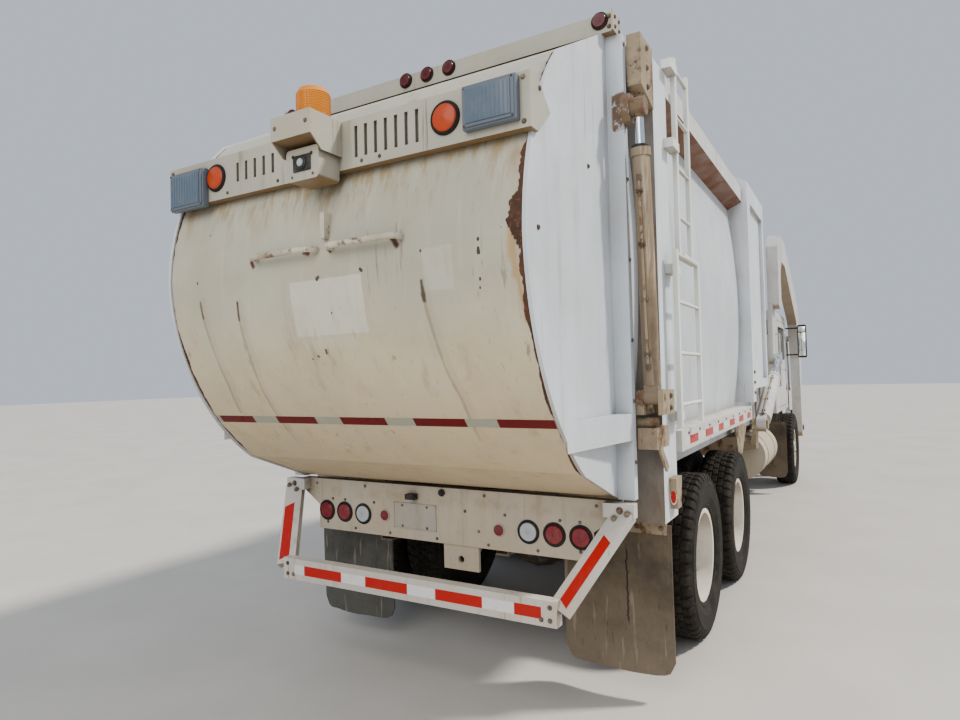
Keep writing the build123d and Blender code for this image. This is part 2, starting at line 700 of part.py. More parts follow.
def ladder():
    """Two-stage access ladder on the right rear post."""
    back = FRAME_HALF + LADDER_LIFT
    parts = ladder_stage(LADDER_UPPER_X, LADDER_UPPER_Z, LADDER_UPPER_RUNGS, back)
    parts += ladder_stage(LADDER_LOWER_X, LADDER_LOWER_Z, LADDER_LOWER_RUNGS, back + LADDER_BAR)
    for z in LADDER_FEET_Z:
        reach = LADDER_LOWER_X[0] if z < LADDER_LOWER_Z[1] else LADDER_UPPER_X[0]
        foot_x = (min(reach, RING_X[1] - 80), max(reach, RING_X[1]))
        parts.append(box(foot_x, (-back - LADDER_BAR - 10, -FRAME_HALF), (z - 25, z + 25)))
    strap_x = (LADDER_UPPER_X[0] - LADDER_HALF_BAR, LADDER_LOWER_X[1] + LADDER_HALF_BAR)
    strap_z = (LADDER_UPPER_Z[0], LADDER_LOWER_Z[1])
    parts.append(box(strap_x, (-back - 2 * LADDER_BAR, -back), strap_z))
    return fused(parts)


def mud_flaps():
    rear = box((FLAP_X, FLAP_X + FLAP_THICKNESS), FLAP_Y, FLAP_Z)
    back = CAB_REAR_X - SEAT_GAP
    front = box((back - FLAP_THICKNESS, back), FRONT_FLAP_Y, FRONT_FLAP_Z)
    return pair(rear) + pair(front)


def flap_brackets():
    """Plates that hold the rear flaps, shelf gussets and side marker brackets."""
    plate_x = (FLAP_X - 10, FLAP_X)
    plate = box(plate_x, (FLAP_Y[0] - 20, FLAP_Y[1] - 20), (FLAP_Z[1] - 50, RING_FOOT_Z))
    plate += box(plate_x, (FLAP_Y[0] - 20, FRAME_HALF - RING_FOOT_WIDTH), (RING_FOOT_Z, SILL_TOP))
    end = SHELF_X[1]
    gusset = side_prism(side_outline([
        (end - 270, SHELF_Z[0]), (end, SHELF_Z[0]), (end + 430, SHELF_Z[0] - 100),
        (end + 130, SHELF_Z[0] - 340), (end - 70, SHELF_Z[0] - 340),
    ]), FRAME_HALF - 130, FRAME_HALF - 118)
    marker = side_prism(side_outline([
        (RING_X[0] + 90, SILL_TOP + 45), (RING_X[0] + 220, SILL_TOP + 45),
        (RING_X[0] + 200, SILL_TOP - 120), (RING_X[0] + 120, SILL_TOP - 120),
    ]), FRAME_HALF, FRAME_HALF + 38)
    return pair(plate) + pair(gusset) + pair(marker)


# Running gear

def flat_sided_ring(profile, flats):
    """A ring of (radius, y) profile points with flat sides, one of them straight down."""
    step = math.pi / flats
    faces = []
    for (r1, y1), (r2, y2) in zip(profile, profile[1:] + profile[:1]):
        for k in range(flats):
            turns = ((r1, y1, 2 * k - 1), (r1, y1, 2 * k + 1), (r2, y2, 2 * k + 1), (r2, y2, 2 * k - 1))
            corners = []
            for r, y, turn in turns:
                reach = r / math.cos(step)
                corners.append((reach * math.sin(turn * step), y, -reach * math.cos(turn * step)))
            faces.append(Face(Wire.make_polygon(corners)))
    return Solid(Shell(faces))


def tyre(y_centre):
    """Tyre with a flat for each pitch of its tread."""
    half = TYRE_WIDTH / 2
    bead = RIM_WIDTH / 2 - 8
    profile = [
        (RIM_RADIUS + SEAT_GAP, -bead), (TYRE_BULGE_RADIUS, -half), (TYRE_RADIUS, -TREAD_WIDTH / 2),
        (TYRE_RADIUS, TREAD_WIDTH / 2), (TYRE_BULGE_RADIUS, half), (RIM_RADIUS + SEAT_GAP, bead),
    ]
    return Pos(0, y_centre, 0) * flat_sided_ring(profile, TREAD_PITCHES)


def rim(y_centre, disc_y, attach_y, side):
    """Steel rim; its dished disc runs from disc_y at the hub to attach_y at the barrel."""
    half = side * RIM_WIDTH / 2
    edge = side * 8
    wall = side * RIM_WALL
    wheel = turned([
        (BARREL_RADIUS, y_centre - half), (RIM_RADIUS + RIM_LIP, y_centre - half),
        (RIM_RADIUS, y_centre - half + edge), (RIM_RADIUS, y_centre + half - edge),
        (RIM_RADIUS + RIM_LIP, y_centre + half), (BARREL_RADIUS, y_centre + half),
        (BARREL_RADIUS, attach_y + 3 * wall), (NAVE_RADIUS - RIM_WALL, disc_y + wall),
        (HUB_RADIUS + SEAT_GAP, disc_y + wall), (HUB_RADIUS + SEAT_GAP, disc_y),
        (NAVE_RADIUS, disc_y), (BARREL_RADIUS, attach_y),
    ])
    for k in range(HAND_HOLES):
        turn = 2 * math.pi * k / HAND_HOLES
        x = HAND_HOLE_CIRCLE * math.sin(turn)
        z = HAND_HOLE_CIRCLE * math.cos(turn)
        wheel -= rod_y(x, z, HAND_HOLE_RADIUS, disc_y - 2 * RIM_WALL, disc_y + 2 * RIM_WALL)
    return wheel


def on_axle(shape, x):
    return Pos(x, 0, TYRE_RADIUS) * shape


def twin_tyres(x):
    return [on_axle(tyre(WHEEL_Y), x), on_axle(tyre(WHEEL_Y - TWIN_SPACING), x)]


def twin_rims(x):
    """Both rims bolted back to back on one hub with its brake drum."""
    middle = TWIN_MIDDLE_Y
    dish = TWIN_SPACING / 2 - RIM_WIDTH / 4
    outer = rim(WHEEL_Y, middle, middle + dish, 1)
    inner = rim(WHEEL_Y - TWIN_SPACING, middle, middle - dish, -1)
    hub = turned([
        (0, middle - HUB_REACH), (DRUM_RADIUS, middle - HUB_REACH), (DRUM_RADIUS, middle - DRUM_FACE),
        (HUB_RADIUS, middle - DRUM_FACE), (HUB_RADIUS, middle - RIM_WALL - HUB_FLANGE_DEPTH),
        (HUB_FLANGE, middle - RIM_WALL - HUB_FLANGE_DEPTH), (HUB_FLANGE, middle - RIM_WALL),
        (HUB_RADIUS, middle - RIM_WALL), (HUB_RADIUS, middle + HUB_NOSE), (0, middle + HUB_NOSE),
    ])
    hub += rod_y(0, 0, HUB_CAP_RADIUS, middle + HUB_NOSE, middle + HUB_NOSE + HUB_CAP)
    bore_end = middle + SPINDLE_REACH + PANEL_GAP
    hub -= rod_y(0, 0, SPINDLE_RADIUS + SHAFT_GAP, middle - HUB_REACH - 1, bore_end)
    return [on_axle(outer, x), on_axle(inner, x), on_axle(hub, x)]


def front_tyre():
    return [on_axle(tyre(WHEEL_Y), FRONT_AXLE_X)]


def front_rim():
    disc_y = WHEEL_Y + FRONT_DISC_OFFSET
    wheel = rim(WHEEL_Y, disc_y, WHEEL_Y + 20, -1)
    flange_y = disc_y - RIM_WALL
    hub = rod_y(0, 0, HUB_RADIUS, WHEEL_Y - FRONT_HUB_INNER, WHEEL_Y + FRONT_HUB_OUTER)
    hub += rod_y(0, 0, HUB_FLANGE, flange_y - HUB_FLANGE_DEPTH, flange_y)
    hub += rod_y(0, 0, HUB_CAP_RADIUS, WHEEL_Y + FRONT_HUB_OUTER, WHEEL_Y + FRONT_HUB_OUTER + HUB_CAP / 2)
    bore = (WHEEL_Y - FRONT_HUB_INNER - 1, WHEEL_Y + FRONT_HUB_INNER)
    hub -= rod_y(0, 0, SPINDLE_RADIUS + SHAFT_GAP, *bore)
    return [on_axle(wheel, FRONT_AXLE_X), on_axle(hub, FRONT_AXLE_X)]


def drive_axle(x):
    """Axle tube with its banjo case, pinion nose, beam seats and brake chambers."""
    z = TYRE_RADIUS
    end = TWIN_MIDDLE_Y - HUB_REACH - SEAT_GAP
    spread = 1.5 * BANJO_RADIUS
    cheek = 0.5 * BANJO_RADIUS
    case = turned([
        (0, -end), (AXLE_TUBE_RADIUS, -end), (AXLE_TUBE_RADIUS, -spread), (0.9 * BANJO_RADIUS, -cheek),
        (BANJO_RADIUS, 0), (0.9 * BANJO_RADIUS, cheek), (AXLE_TUBE_RADIUS, spread), (AXLE_TUBE_RADIUS, end),
        (0, end),
    ])
    parts = [on_axle(case, x)]
    tip = TWIN_MIDDLE_Y + SPINDLE_REACH
    parts.append(rod_y(x, z, SPINDLE_RADIUS, -tip, tip))
    parts.append(rod_x(0, z, AXLE_TUBE_RADIUS, x, x + PINION_REACH))
    seat = box((x - 70, x + 70), (BEAM_Y[0] - 25, BEAM_Y[1] + 25), (z, BEAM_Z[0]))
    chamber = rod_x(CHAMBER_Y, z + CHAMBER_RISE, AXLE_TUBE_RADIUS, x - 330, x - 200)
    carrier = box((x - 200, x), (CHAMBER_Y - 20, CHAMBER_Y + 20), (z + 30, z + CHAMBER_RISE + 50))
    parts.extend(pair(seat) + pair(chamber) + pair(carrier))
    return fused(parts)


def equaliser_beam():
    """Walking beam that rests on both drive axles and carries the rail at its middle."""
    low, high = REAR_AXLES_X
    middle = (low + high) / 2
    bottom, edge = BEAM_Z
    return side_prism(side_outline([
        (low - 150, bottom), (high + 150, bottom), (high + 150, edge), (middle + 120, RAIL_BOTTOM),
        (middle - 120, RAIL_BOTTOM), (low - 150, edge),
    ]), *BEAM_Y)


def spring_leaf(half, number):
    """One curved leaf of the front springs, counted from the longest at the top."""
    sag = SPRING_EYE_Z - SPRING_MIDDLE_Z
    radius = (SPRING_HALF ** 2 + sag ** 2) / (2 * sag)
    centre = SPRING_MIDDLE_Z + radius
    inner = radius + (number - 1) * SPRING_LEAF
    outer = inner + SPRING_LEAF
    turn = half / radius
    x = FRONT_AXLE_X

    def at(reach, angle):
        return (x + reach * math.sin(angle), 0, centre - reach * math.cos(angle))

    return side_prism([
        ThreePointArc(at(inner, -turn), at(inner, 0), at(inner, turn)),
        Line(at(inner, turn), at(outer, turn)),
        ThreePointArc(at(outer, turn), at(outer, 0), at(outer, -turn)),
        Line(at(outer, -turn), at(inner, -turn)),
    ], *SPRING_Y)


def front_axle():
    """Dropped beam between the kingpin ends, under two leaf springs hung from the rails."""
    x = FRONT_AXLE_X
    z = TYRE_RADIUS
    beam = box((x - 50, x + 50), (-700, 700), (z - 120, z - 20))
    end = box((x - KINGPIN_BOSS, x + KINGPIN_BOSS), (700, KINGPIN_Y), (z - KINGPIN_HALF, z + KINGPIN_HALF))
    end += box((x - 50, x + 50), (600, 700), (z - 120, z + KINGPIN_HALF))
    end += rod_z(x, KINGPIN_Y, KINGPIN_BOSS, z - KINGPIN_HALF, z + KINGPIN_HALF)
    end -= rod_z(x, KINGPIN_Y, KINGPIN_RADIUS + SHAFT_GAP, z - 100, z + 100)
    side = [end]
    for number, share in enumerate(SPRING_LEAVES, start=1):
        side.append(spring_leaf(share * SPRING_HALF, number))
    below = SPRING_MIDDLE_Z - len(SPRING_LEAVES) * SPRING_LEAF
    side.append(box((x - 70, x + 70), SPRING_Y, (z - 20, below + 5)))
    for reach in (-SPRING_HALF, SPRING_HALF):
        side.append(box((x + reach - 35, x + reach + 35), SPRING_Y, (SPRING_EYE_Z - 30, RAIL_BOTTOM)))
    half = fused(side)
    return fused([beam, half, mirrored(half)])


def axles():
    solids = [drive_axle(x) for x in REAR_AXLES_X]
    solids.extend(pair(equaliser_beam()))
    solids.append(front_axle())
    return solids


def knuckle():
    """Yoke round the front beam's end, with kingpin and spindle."""
    x = FRONT_AXLE_X
    z = TYRE_RADIUS
    face = WHEEL_Y - FRONT_HUB_INNER - SEAT_GAP
    ear = KINGPIN_HALF + SEAT_GAP
    boss = KINGPIN_BOSS
    length = (KINGPIN_Y - boss, face)
    upper = box((x - boss, x + boss), length, (z + ear, z + ear + 35))
    lower = box((x - boss, x + boss), length, (z - ear - 35, z - ear))
    back = box((x - boss, x + boss), (KINGPIN_Y + boss + 7, face), (z - ear, z + ear))
    pin = rod_z(x, KINGPIN_Y, KINGPIN_RADIUS, z - ear, z + ear)
    spindle = rod_y(x, z, SPINDLE_RADIUS, KINGPIN_Y + boss + 15, WHEEL_Y + FRONT_HUB_INNER - 10)
    return fused([upper, lower, back, pin, spindle])


def engine():
    """Engine with its sump and bell housing, the gearbox behind it, and the radiator ahead."""
    low, high = ENGINE_Z
    sump_top = low + 100
    block = box(ENGINE_X, (-ENGINE_HALF, ENGINE_HALF), (sump_top, high))
    sump_half = ENGINE_HALF - 110
    block += box((ENGINE_X[0] + 150, ENGINE_X[1] - 150), (-sump_half, sump_half), (low, sump_top))
    tail, bell = GEARBOX_X
    gear_face = make_face(Polyline([
        (tail, 0, 0), (tail, 0, SHAFT_RADIUS + 30), (tail + 100, 0, 0.65 * GEARBOX_RADIUS),
        (bell - 200, 0, 0.75 * GEARBOX_RADIUS), (bell, 0, GEARBOX_RADIUS), (bell, 0, 0),
    ], close=True))
    gearbox = Pos(0, 0, GEARBOX_Z) * revolve(gear_face, axis=Axis.X)
    between = RAIL_OUTER_Y - RAIL_FLANGE
    radiator = box(RADIATOR_X, (-between, between), (low + 50, high))
    return [block, gearbox, radiator]


def drive_shaft(start, end):
    """Propeller shaft along X between two (x, z) flanges."""
    flange = 20
    first = rod_x(0, start[1], SHAFT_RADIUS + 20, start[0], start[0] + flange)
    last = rod_x(0, end[1], SHAFT_RADIUS + 20, end[0] - flange, end[0])
    near = (start[0] + flange / 2, 0, start[1])
    far = (end[0] - flange / 2, 0, end[1])
    bar = rod_between(near, far, SHAFT_RADIUS)
    return fused([first, bar, last])


def drive_shafts():
    z = TYRE_RADIUS
    rear, front = REAR_AXLES_X
    through = drive_shaft((rear + PINION_REACH, z), (front - BANJO_RADIUS, z))
    main = drive_shaft((front + PINION_REACH, z), (GEARBOX_X[0], GEARBOX_Z))
    return [through, main]


def tanks():
    """Round hydraulic tank on the right, square fuel tank on the left, strapped to the rails."""
    low, high = TANK_X
    drum = rod_x(-DRUM_TANK_Y, DRUM_TANK_Z, DRUM_TANK_RADIUS, low, high)
    fuel = box(TANK_X, FUEL_TANK_Y, FUEL_TANK_Z)
    fuel = fillet(fuel.edges().filter_by(Axis.X), FUEL_TANK_ROUND)
    level = (RAIL_BOTTOM + 20, RAIL_BOTTOM + 120)
    for x in TANK_STRAPS_X:
        drum += box((x - 30, x + 30), (-DRUM_TANK_Y, -RAIL_OUTER_Y), level)
        drum += rod_x(-DRUM_TANK_Y, DRUM_TANK_Z, DRUM_TANK_RADIUS + 6, x - 30, x + 30)
        fuel += box((x - 30, x + 30), (RAIL_OUTER_Y, FUEL_TANK_Y[0] + 20), level)
    return [drum, fuel]


# Cab

def cab_profile(inset):
    front = CAB_FRONT_X - inset
    rear = CAB_REAR_X + inset
    return side_outline([
        (rear, CAB_FLOOR_Z + inset), (front, CAB_FLOOR_Z + inset), (front, CAB_BELT_Z),
        (front - CAB_RAKE, CAB_ROOF_Z - inset), (rear, CAB_ROOF_Z - inset),
    ])


def cab_block(inset, rounding):
    """The cab's form with rounded roof edges and front corners."""
    half = CAB_HALF - inset
    block = side_prism(cab_profile(inset), -half, half)
    corners = list(block.edges().group_by(Axis.Z)[-1])
    for edge in block.edges():
        centre = edge.center()
        upright = abs(abs(centre.Y) - half) < 1 and centre.X > CAB_FRONT_X - 2 * CAB_RAKE
        if upright and centre.Z < CAB_ROOF_Z - inset - 1:
            corners.append(edge)
    return fillet(corners, rounding)


def hinge_barrel(low, high, radius):
    return rod_z(DOOR_HINGE_X, DOOR_HINGE_Y, radius, low, high)


def cab_shell():
    """Hollow cab with door openings, windscreen and rear window, and the doors' hinge lugs."""
    shell = cab_block(0, CAB_ROUND) - cab_block(CAB_WALL, CAB_ROUND - CAB_WALL)
    beyond = 2 * CAB_HALF
    shell -= box(DOOR_X, (-beyond, beyond), DOOR_Z)
    front = (CAB_FRONT_X - 2 * CAB_RAKE - CAB_WALL, CAB_FRONT_X + CAB_WALL)
    shell -= box(front, (-WINDSCREEN_HALF, WINDSCREEN_HALF), WINDSCREEN_Z)
    rear = (CAB_REAR_X - 1, CAB_REAR_X + CAB_WALL + 1)
    shell -= box(rear, (-REAR_WINDOW_HALF, REAR_WINDOW_HALF), REAR_WINDOW_Z)
    for z in DOOR_HINGE_ZS:
        top = z - SEAT_GAP
        lug = box((DOOR_HINGE_X, DOOR_HINGE_X + 50), (CAB_HALF, DOOR_HINGE_Y), (z - 50, top))
        lug += hinge_barrel(z - 50, top, DOOR_HINGE_RADIUS)
        lug += hinge_barrel(z - 50, z + 55, DOOR_PIN_RADIUS)
        shell += lug
        shell += mirrored(lug)
    return shell


def cab_glass():
    """Raked windscreen and rear window pane, set back in their openings."""
    wide = CAB_HALF
    set_back = 1.5 * GLASS
    front = side_prism(cab_profile(set_back), -wide, wide)
    front -= side_prism(cab_profile(set_back + GLASS), -wide - 1, wide + 1)
    half = WINDSCREEN_HALF - SEAT_GAP
    span = (CAB_FRONT_X - 2 * CAB_RAKE, CAB_FRONT_X)
    front = front & box(span, (-half, half), (WINDSCREEN_Z[0] + SEAT_GAP, WINDSCREEN_Z[1] - SEAT_GAP))
    x = CAB_REAR_X + CAB_WALL / 2
    half = REAR_WINDOW_HALF - SEAT_GAP
    rear = box((x, x + GLASS), (-half, half), (REAR_WINDOW_Z[0] + SEAT_GAP, REAR_WINDOW_Z[1] - SEAT_GAP))
    return [front, rear]


def cab_interior():
    """Two seats, the engine cover between them and the dashboard."""
    solids = []
    floor = CAB_FLOOR_Z + CAB_WALL
    cushion = floor + SEAT_HEIGHT
    inner = CAB_HALF - CAB_WALL
    rear, front = SEAT_X
    top = cushion + SEAT_BACK
    for y in (-SEAT_Y, SEAT_Y):
        width = (y - SEAT_HALF, y + SEAT_HALF)
        foot = (y - SEAT_HALF + 60, y + SEAT_HALF - 60)
        pedestal = box((rear + 150, front - 50), foot, (floor, cushion - 150))
        seat = box((rear + 100, front), width, (cushion - 150, cushion))
        back = box((rear, rear + 120), width, (cushion, top))
        head = box((rear + 15, rear + 100), (y - 130, y + 130), (top, top + 170))
        solids.append(fused([pedestal, seat, back, head]))
    hump = side_prism(rounded_outline([
        (CAB_REAR_X + CAB_WALL, floor), (HUMP_FRONT_X, floor), (HUMP_FRONT_X, floor + 0.8 * HUMP_HEIGHT),
        (HUMP_FRONT_X - 200, floor + HUMP_HEIGHT), (CAB_REAR_X + CAB_WALL, floor + HUMP_HEIGHT),
    ], 20), -ENGINE_HALF, ENGINE_HALF)
    solids.append(hump)
    dash_front = CAB_FRONT_X - CAB_WALL
    dash = side_prism(side_outline([
        (DASH_X + 120, floor), (dash_front, floor), (dash_front, DASH_TOP),
        (DASH_X + 60, DASH_TOP), (DASH_X, DASH_TOP - 90), (DASH_X, DASH_TOP - 260),
    ]), -inner + CAB_ROUND, inner - CAB_ROUND)
    solids.append(dash)
    return solids


def steering_wheel():
    """Rim, three flat spokes and the column that runs down to the dashboard."""
    ring = Cylinder(WHEEL_GRIP + 16, 28) - Cylinder(WHEEL_GRIP - 16, 30)
    parts = [ring, Cylinder(50, 36), Box(24, 2 * WHEEL_GRIP - 20, 14)]
    parts.append(Pos(-WHEEL_GRIP / 2, 0, 0) * Box(WHEEL_GRIP, 24, 14))
    parts.append(Pos(0, 0, -WHEEL_COLUMN / 2) * Cylinder(30, WHEEL_COLUMN))
    wheel = Pos(*WHEEL_AT) * Rot(0, -WHEEL_TILT, 0) * fused(parts)
    return wheel - box((DASH_X, CAB_FRONT_X), (0, CAB_HALF), (CAB_FLOOR_Z, DASH_TOP))


def front_bumper():
    """Steel bumper with rounded ends and headlamp pockets, on two brackets, with tow eyes."""
    front = CAB_FRONT_X + FRONT_BUMPER_DEPTH
    half = CAB_HALF + 85
    face = box((CAB_FRONT_X, front), (-half, half), FRONT_BUMPER_Z)
    face = fillet(face.edges().filter_by(Axis.Z).group_by(Axis.X)[-1], 0.6 * FRONT_BUMPER_DEPTH)
    pocket = box((front - HEADLAMP_DEPTH, front + 1), HEADLAMP_Y, HEADLAMP_Z)
    bracket_y = (RAIL_OUTER_Y - RAIL_FLANGE, RAIL_OUTER_Y)
    bracket = box((RAIL_FRONT_X, CAB_FRONT_X), bracket_y, (RAIL_BOTTOM, FRONT_BUMPER_Z[1]))
    bumper = fused([face - pocket - mirrored(pocket), bracket, mirrored(bracket)])
    eye = box(TOW_EYE_X, (TOW_EYE_Y - 50, TOW_EYE_Y + 50), (TOW_EYE_Z, FRONT_BUMPER_Z[0]))
    eye += rod_x(TOW_EYE_Y, TOW_EYE_Z, 50, *TOW_EYE_X)
    eye -= rod_x(TOW_EYE_Y, TOW_EYE_Z, TOW_EYE_RADIUS, TOW_EYE_X[0] - 1, TOW_EYE_X[1] + 1)
    return fused([bumper, eye, mirrored(eye)])


def grille():
    """Rounded frame with a row of cross slats."""
    depth = (CAB_FRONT_X, CAB_FRONT_X + GRILLE_DEPTH)
    frame = box(depth, (-GRILLE_HALF, GRILLE_HALF), GRILLE_Z)
    frame = fillet(frame.edges().filter_by(Axis.X), GRILLE_BORDER)
    slots = int((GRILLE_Z[1] - GRILLE_Z[0] - GRILLE_BORDER) / GRILLE_PITCH)
    width = (GRILLE_BORDER - GRILLE_HALF, GRILLE_HALF - GRILLE_BORDER)
    cut = (CAB_FRONT_X + GRILLE_DEPTH / 3, CAB_FRONT_X + GRILLE_DEPTH + 1)
    for i in range(slots):
        z = GRILLE_Z[0] + GRILLE_BORDER + i * GRILLE_PITCH
        frame -= box(cut, width, (z, z + 0.6 * GRILLE_PITCH))
    return frame


def steps():
    """Entry step boxes behind the front wheels, each with two open treads."""
    low, high = STEP_X
    outer = CAB_HALF
    step = box(STEP_X, (STEP_ROOT, outer), (STEP_Z[0], CAB_FLOOR_Z))
    opening_y = (STEP_ROOT + STEP_PLATE, outer + 1)
    inside = (low + STEP_PLATE, high - STEP_PLATE)
    step -= box(inside, opening_y, (STEP_Z[0] + 1.5 * STEP_PLATE, STEP_Z[1]))
    step -= box(inside, opening_y, (STEP_Z[1] + 1.5 * STEP_PLATE, CAB_FLOOR_Z - STEP_PLATE))
    return pair(step)


def mirrors():
    """Mirror heads on bent arms at the cab's front corners."""
    x = sum(MIRROR_X) / 2
    head = box(MIRROR_X, MIRROR_Y, MIRROR_Z)
    head = fillet(head.edges().filter_by(Axis.X), 25)
    upper = rod_y(x, MIRROR_Z[1] - 50, MIRROR_BAR, CAB_HALF, MIRROR_Y[0] + 10)
    lower = rod_y(x, MIRROR_Z[0] + 50, MIRROR_BAR, CAB_HALF, MIRROR_Y[0] + 10)
    return pair(fused([head, upper, lower]))


def door():
    """Door panel with its window opening, pressed swage, handle and hinge leaves."""
    gap = PANEL_GAP
    x = (DOOR_X[0] + gap, DOOR_X[1] - gap)
    z = (DOOR_Z[0] + gap, DOOR_Z[1] - gap)
    panel = box(x, (CAB_HALF - CAB_WALL, CAB_HALF), z)
    window = box(DOOR_WINDOW_X, (CAB_HALF - 2 * CAB_WALL, CAB_HALF + 1), DOOR_WINDOW_Z)
    panel -= fillet(window.edges().filter_by(Axis.Y), DOOR_WINDOW_ROUND)
    swage_z = DOOR_WINDOW_Z[0] - 170
    panel -= box((x[0] - 1, x[1] + 1), (CAB_HALF - 6, CAB_HALF + 1), (swage_z, swage_z + 30))
    handle_x = x[0] + 70
    panel -= box((handle_x, handle_x + 150), (CAB_HALF - 22, CAB_HALF + 1), (swage_z + 60, swage_z + 120))
    panel += box((handle_x, handle_x + 150), (CAB_HALF - 12, CAB_HALF), (swage_z + 80, swage_z + 100))
    for z in DOOR_HINGE_ZS:
        leaf = box((DOOR_HINGE_X - 50, DOOR_HINGE_X), (CAB_HALF, DOOR_HINGE_Y), (z, z + 50))
        leaf += hinge_barrel(z, z + 50, DOOR_HINGE_RADIUS)
        leaf -= hinge_barrel(z - 1, z + 51, DOOR_PIN_RADIUS + SHAFT_GAP)
        panel += leaf
    return panel


def door_glass():
    x = (DOOR_WINDOW_X[0] + SEAT_GAP, DOOR_WINDOW_X[1] - SEAT_GAP)
    z = (DOOR_WINDOW_Z[0] + SEAT_GAP, DOOR_WINDOW_Z[1] - SEAT_GAP)
    middle = CAB_HALF - CAB_WALL / 2
    pane = box(x, (middle - GLASS / 2, middle + GLASS / 2), z)
    return fillet(pane.edges().filter_by(Axis.Y), DOOR_WINDOW_ROUND - SEAT_GAP)


# Tailgate

def gate_outline(inset):
    """Side outline: flat front, sloping floor, two arcs round the tail, sloping top."""
    low = GATE_BOTTOM + inset
    high = GATE_TOP - inset
    front_low = (GATE_FRONT_X, 0, low)
    floor_start = (GATE_FLOOR_X, 0, low)
    floor_end = (GATE_FLOOR_END[0] + 0.4 * inset, 0, GATE_FLOOR_END[1] + inset)
    lower_mid = (GATE_LOWER_ARC[0] + 0.85 * inset, 0, GATE_LOWER_ARC[1] + 0.5 * inset)
    belly = (GATE_BELLY[0] + inset, 0, GATE_BELLY[1])
    upper_mid = (GATE_UPPER_ARC[0] + 0.95 * inset, 0, GATE_UPPER_ARC[1] - 0.3 * inset)
    shoulder = (GATE_SHOULDER[0] + 0.7 * inset, 0, GATE_SHOULDER[1] - 0.75 * inset)
    top_end = (HEADER_X[0] + 0.3 * inset, 0, high)
    front_high = (GATE_FRONT_X, 0, high)
    return [
        Line(front_low, floor_start),
        Line(floor_start, floor_end),
        ThreePointArc(floor_end, lower_mid, belly),
        ThreePointArc(belly, upper_mid, shoulder),
        Line(shoulder, top_end),
        Line(top_end, front_high),
        Line(front_high, front_low),
    ]


def gate_solid(inset, half):
    return side_prism(gate_outline(inset), -half, half)


def gate_sides():
    """Side plates with the closing flange, the ram ears and the hinge lugs."""
    plate = side_prism(gate_outline(0), GATE_HALF - GATE_SIDE_PLATE, GATE_HALF)
    flange = box((0, GATE_FRONT_X), (GATE_HALF, FLANGE_HALF), (GATE_BOTTOM, GATE_TOP))
    slope = Polyline([(LEDGE_X, GATE_HALF, 0), (0, FLANGE_HALF, 0), (0, GATE_HALF, 0)], close=True)
    ledge = extrude(make_face(slope), amount=LEDGE_Z[1] - LEDGE_Z[0], dir=(0, 0, 1))
    ledge = Pos(0, 0, LEDGE_Z[0]) * ledge
    eye_x, eye_z = GATE_RAM_EYE
    ear = side_prism(side_outline([
        (eye_x - 60, eye_z - 30), (eye_x - 20, eye_z - GATE_EAR_HALF), (eye_x + 40, eye_z - GATE_EAR_HALF),
        (eye_x + 40, eye_z + GATE_EAR_HALF), (eye_x - 20, eye_z + GATE_EAR_HALF), (eye_x - 60, eye_z + 30),
    ]), FLANGE_HALF, GATE_EAR_Y - SEAT_GAP)
    web_z = (eye_z - GATE_EAR_HALF, eye_z + GATE_EAR_HALF)
    web = box((0, 40), (GATE_HALF, FLANGE_HALF), web_z)
    low, high = HINGE_LUG_Y
    lug = box((HEADER_X[1], HINGE_X), HINGE_LUG_Y, (HINGE_Z - 60, HINGE_Z + 60))
    lug += rod_y(HINGE_X, HINGE_Z, 60, low, high)
    lug -= rod_y(HINGE_X, HINGE_Z, HINGE_PIN_RADIUS + SHAFT_GAP, low - 1, high + 1)
    return pair(fused([plate, flange, ledge, ear, web])) + pair(lug)


def gate_skin():
    """The wrap-around skin between the side plates, open towards the body."""
    half = GATE_HALF - GATE_SIDE_PLATE
    return gate_solid(GATE_SKIN_INSET, half) - gate_solid(GATE_SKIN_INSET + GATE_SKIN, half + 1)


def louvres(first, pitch, z_range, count):
    """Upright slots in the light bar's rear face."""
    slots = []
    for i in range(count):
        y = first + i * pitch
        depth = (LIGHT_BAR_X - 1, LIGHT_BAR_X + LOUVRE_DEPTH)
        slots.append(box(depth, (y - LOUVRE_HALF, y + LOUVRE_HALF), z_range))
    return slots


def light_bar():
    """Lamp carrier with louvred face and end brackets, seated on the skin."""
    half = LIGHT_BAR_HALF
    bar = box((LIGHT_BAR_X, LIGHT_BAR_FRONT_X), (-half, half), LIGHT_BAR_Z)
    bar -= gate_solid(0, GATE_HALF)
    for side in (-1, 1):
        end_y = sorted((side * GATE_HALF, side * (half + 1)))
        end_z = (LIGHT_BAR_Z[0] - 1, LIGHT_BAR_Z[1] + 1)
        bar -= box((LIGHT_BAR_END_X, LIGHT_BAR_FRONT_X + 1), end_y, end_z)
    bracket = side_prism(side_outline([
        (LIGHT_BAR_END_X, LIGHT_BAR_Z[0]), (LIGHT_BAR_END_X + 115, sum(LIGHT_BAR_Z) / 2),
        (LIGHT_BAR_END_X, LIGHT_BAR_Z[1]),
    ]), GATE_HALF, half)
    bar = fused([bar, bracket, mirrored(bracket)])
    slots = louvres(*LOUVRES_LEFT, LOUVRES_LEFT_Z, LOUVRES_LEFT_COUNT)
    slots += louvres(*LOUVRES_RIGHT, LOUVRES_RIGHT_Z, LOUVRES_RIGHT_COUNT)
    for slot in slots:
        bar -= slot
    return bar


def gate_header():
    """Channel across the tailgate's top with thin end plates."""
    header = box(HEADER_X, (-HEADER_HALF, HEADER_HALF), (GATE_TOP, HEADER_TOP))
    reach = (HEADER_X[0] - 12, HEADER_X[1])
    plate = box(reach, (HEADER_HALF, HEADER_HALF + HEADER_PLATE), (GATE_TOP, HEADER_TOP + 10))
    return fused([header, plate, mirrored(plate)])


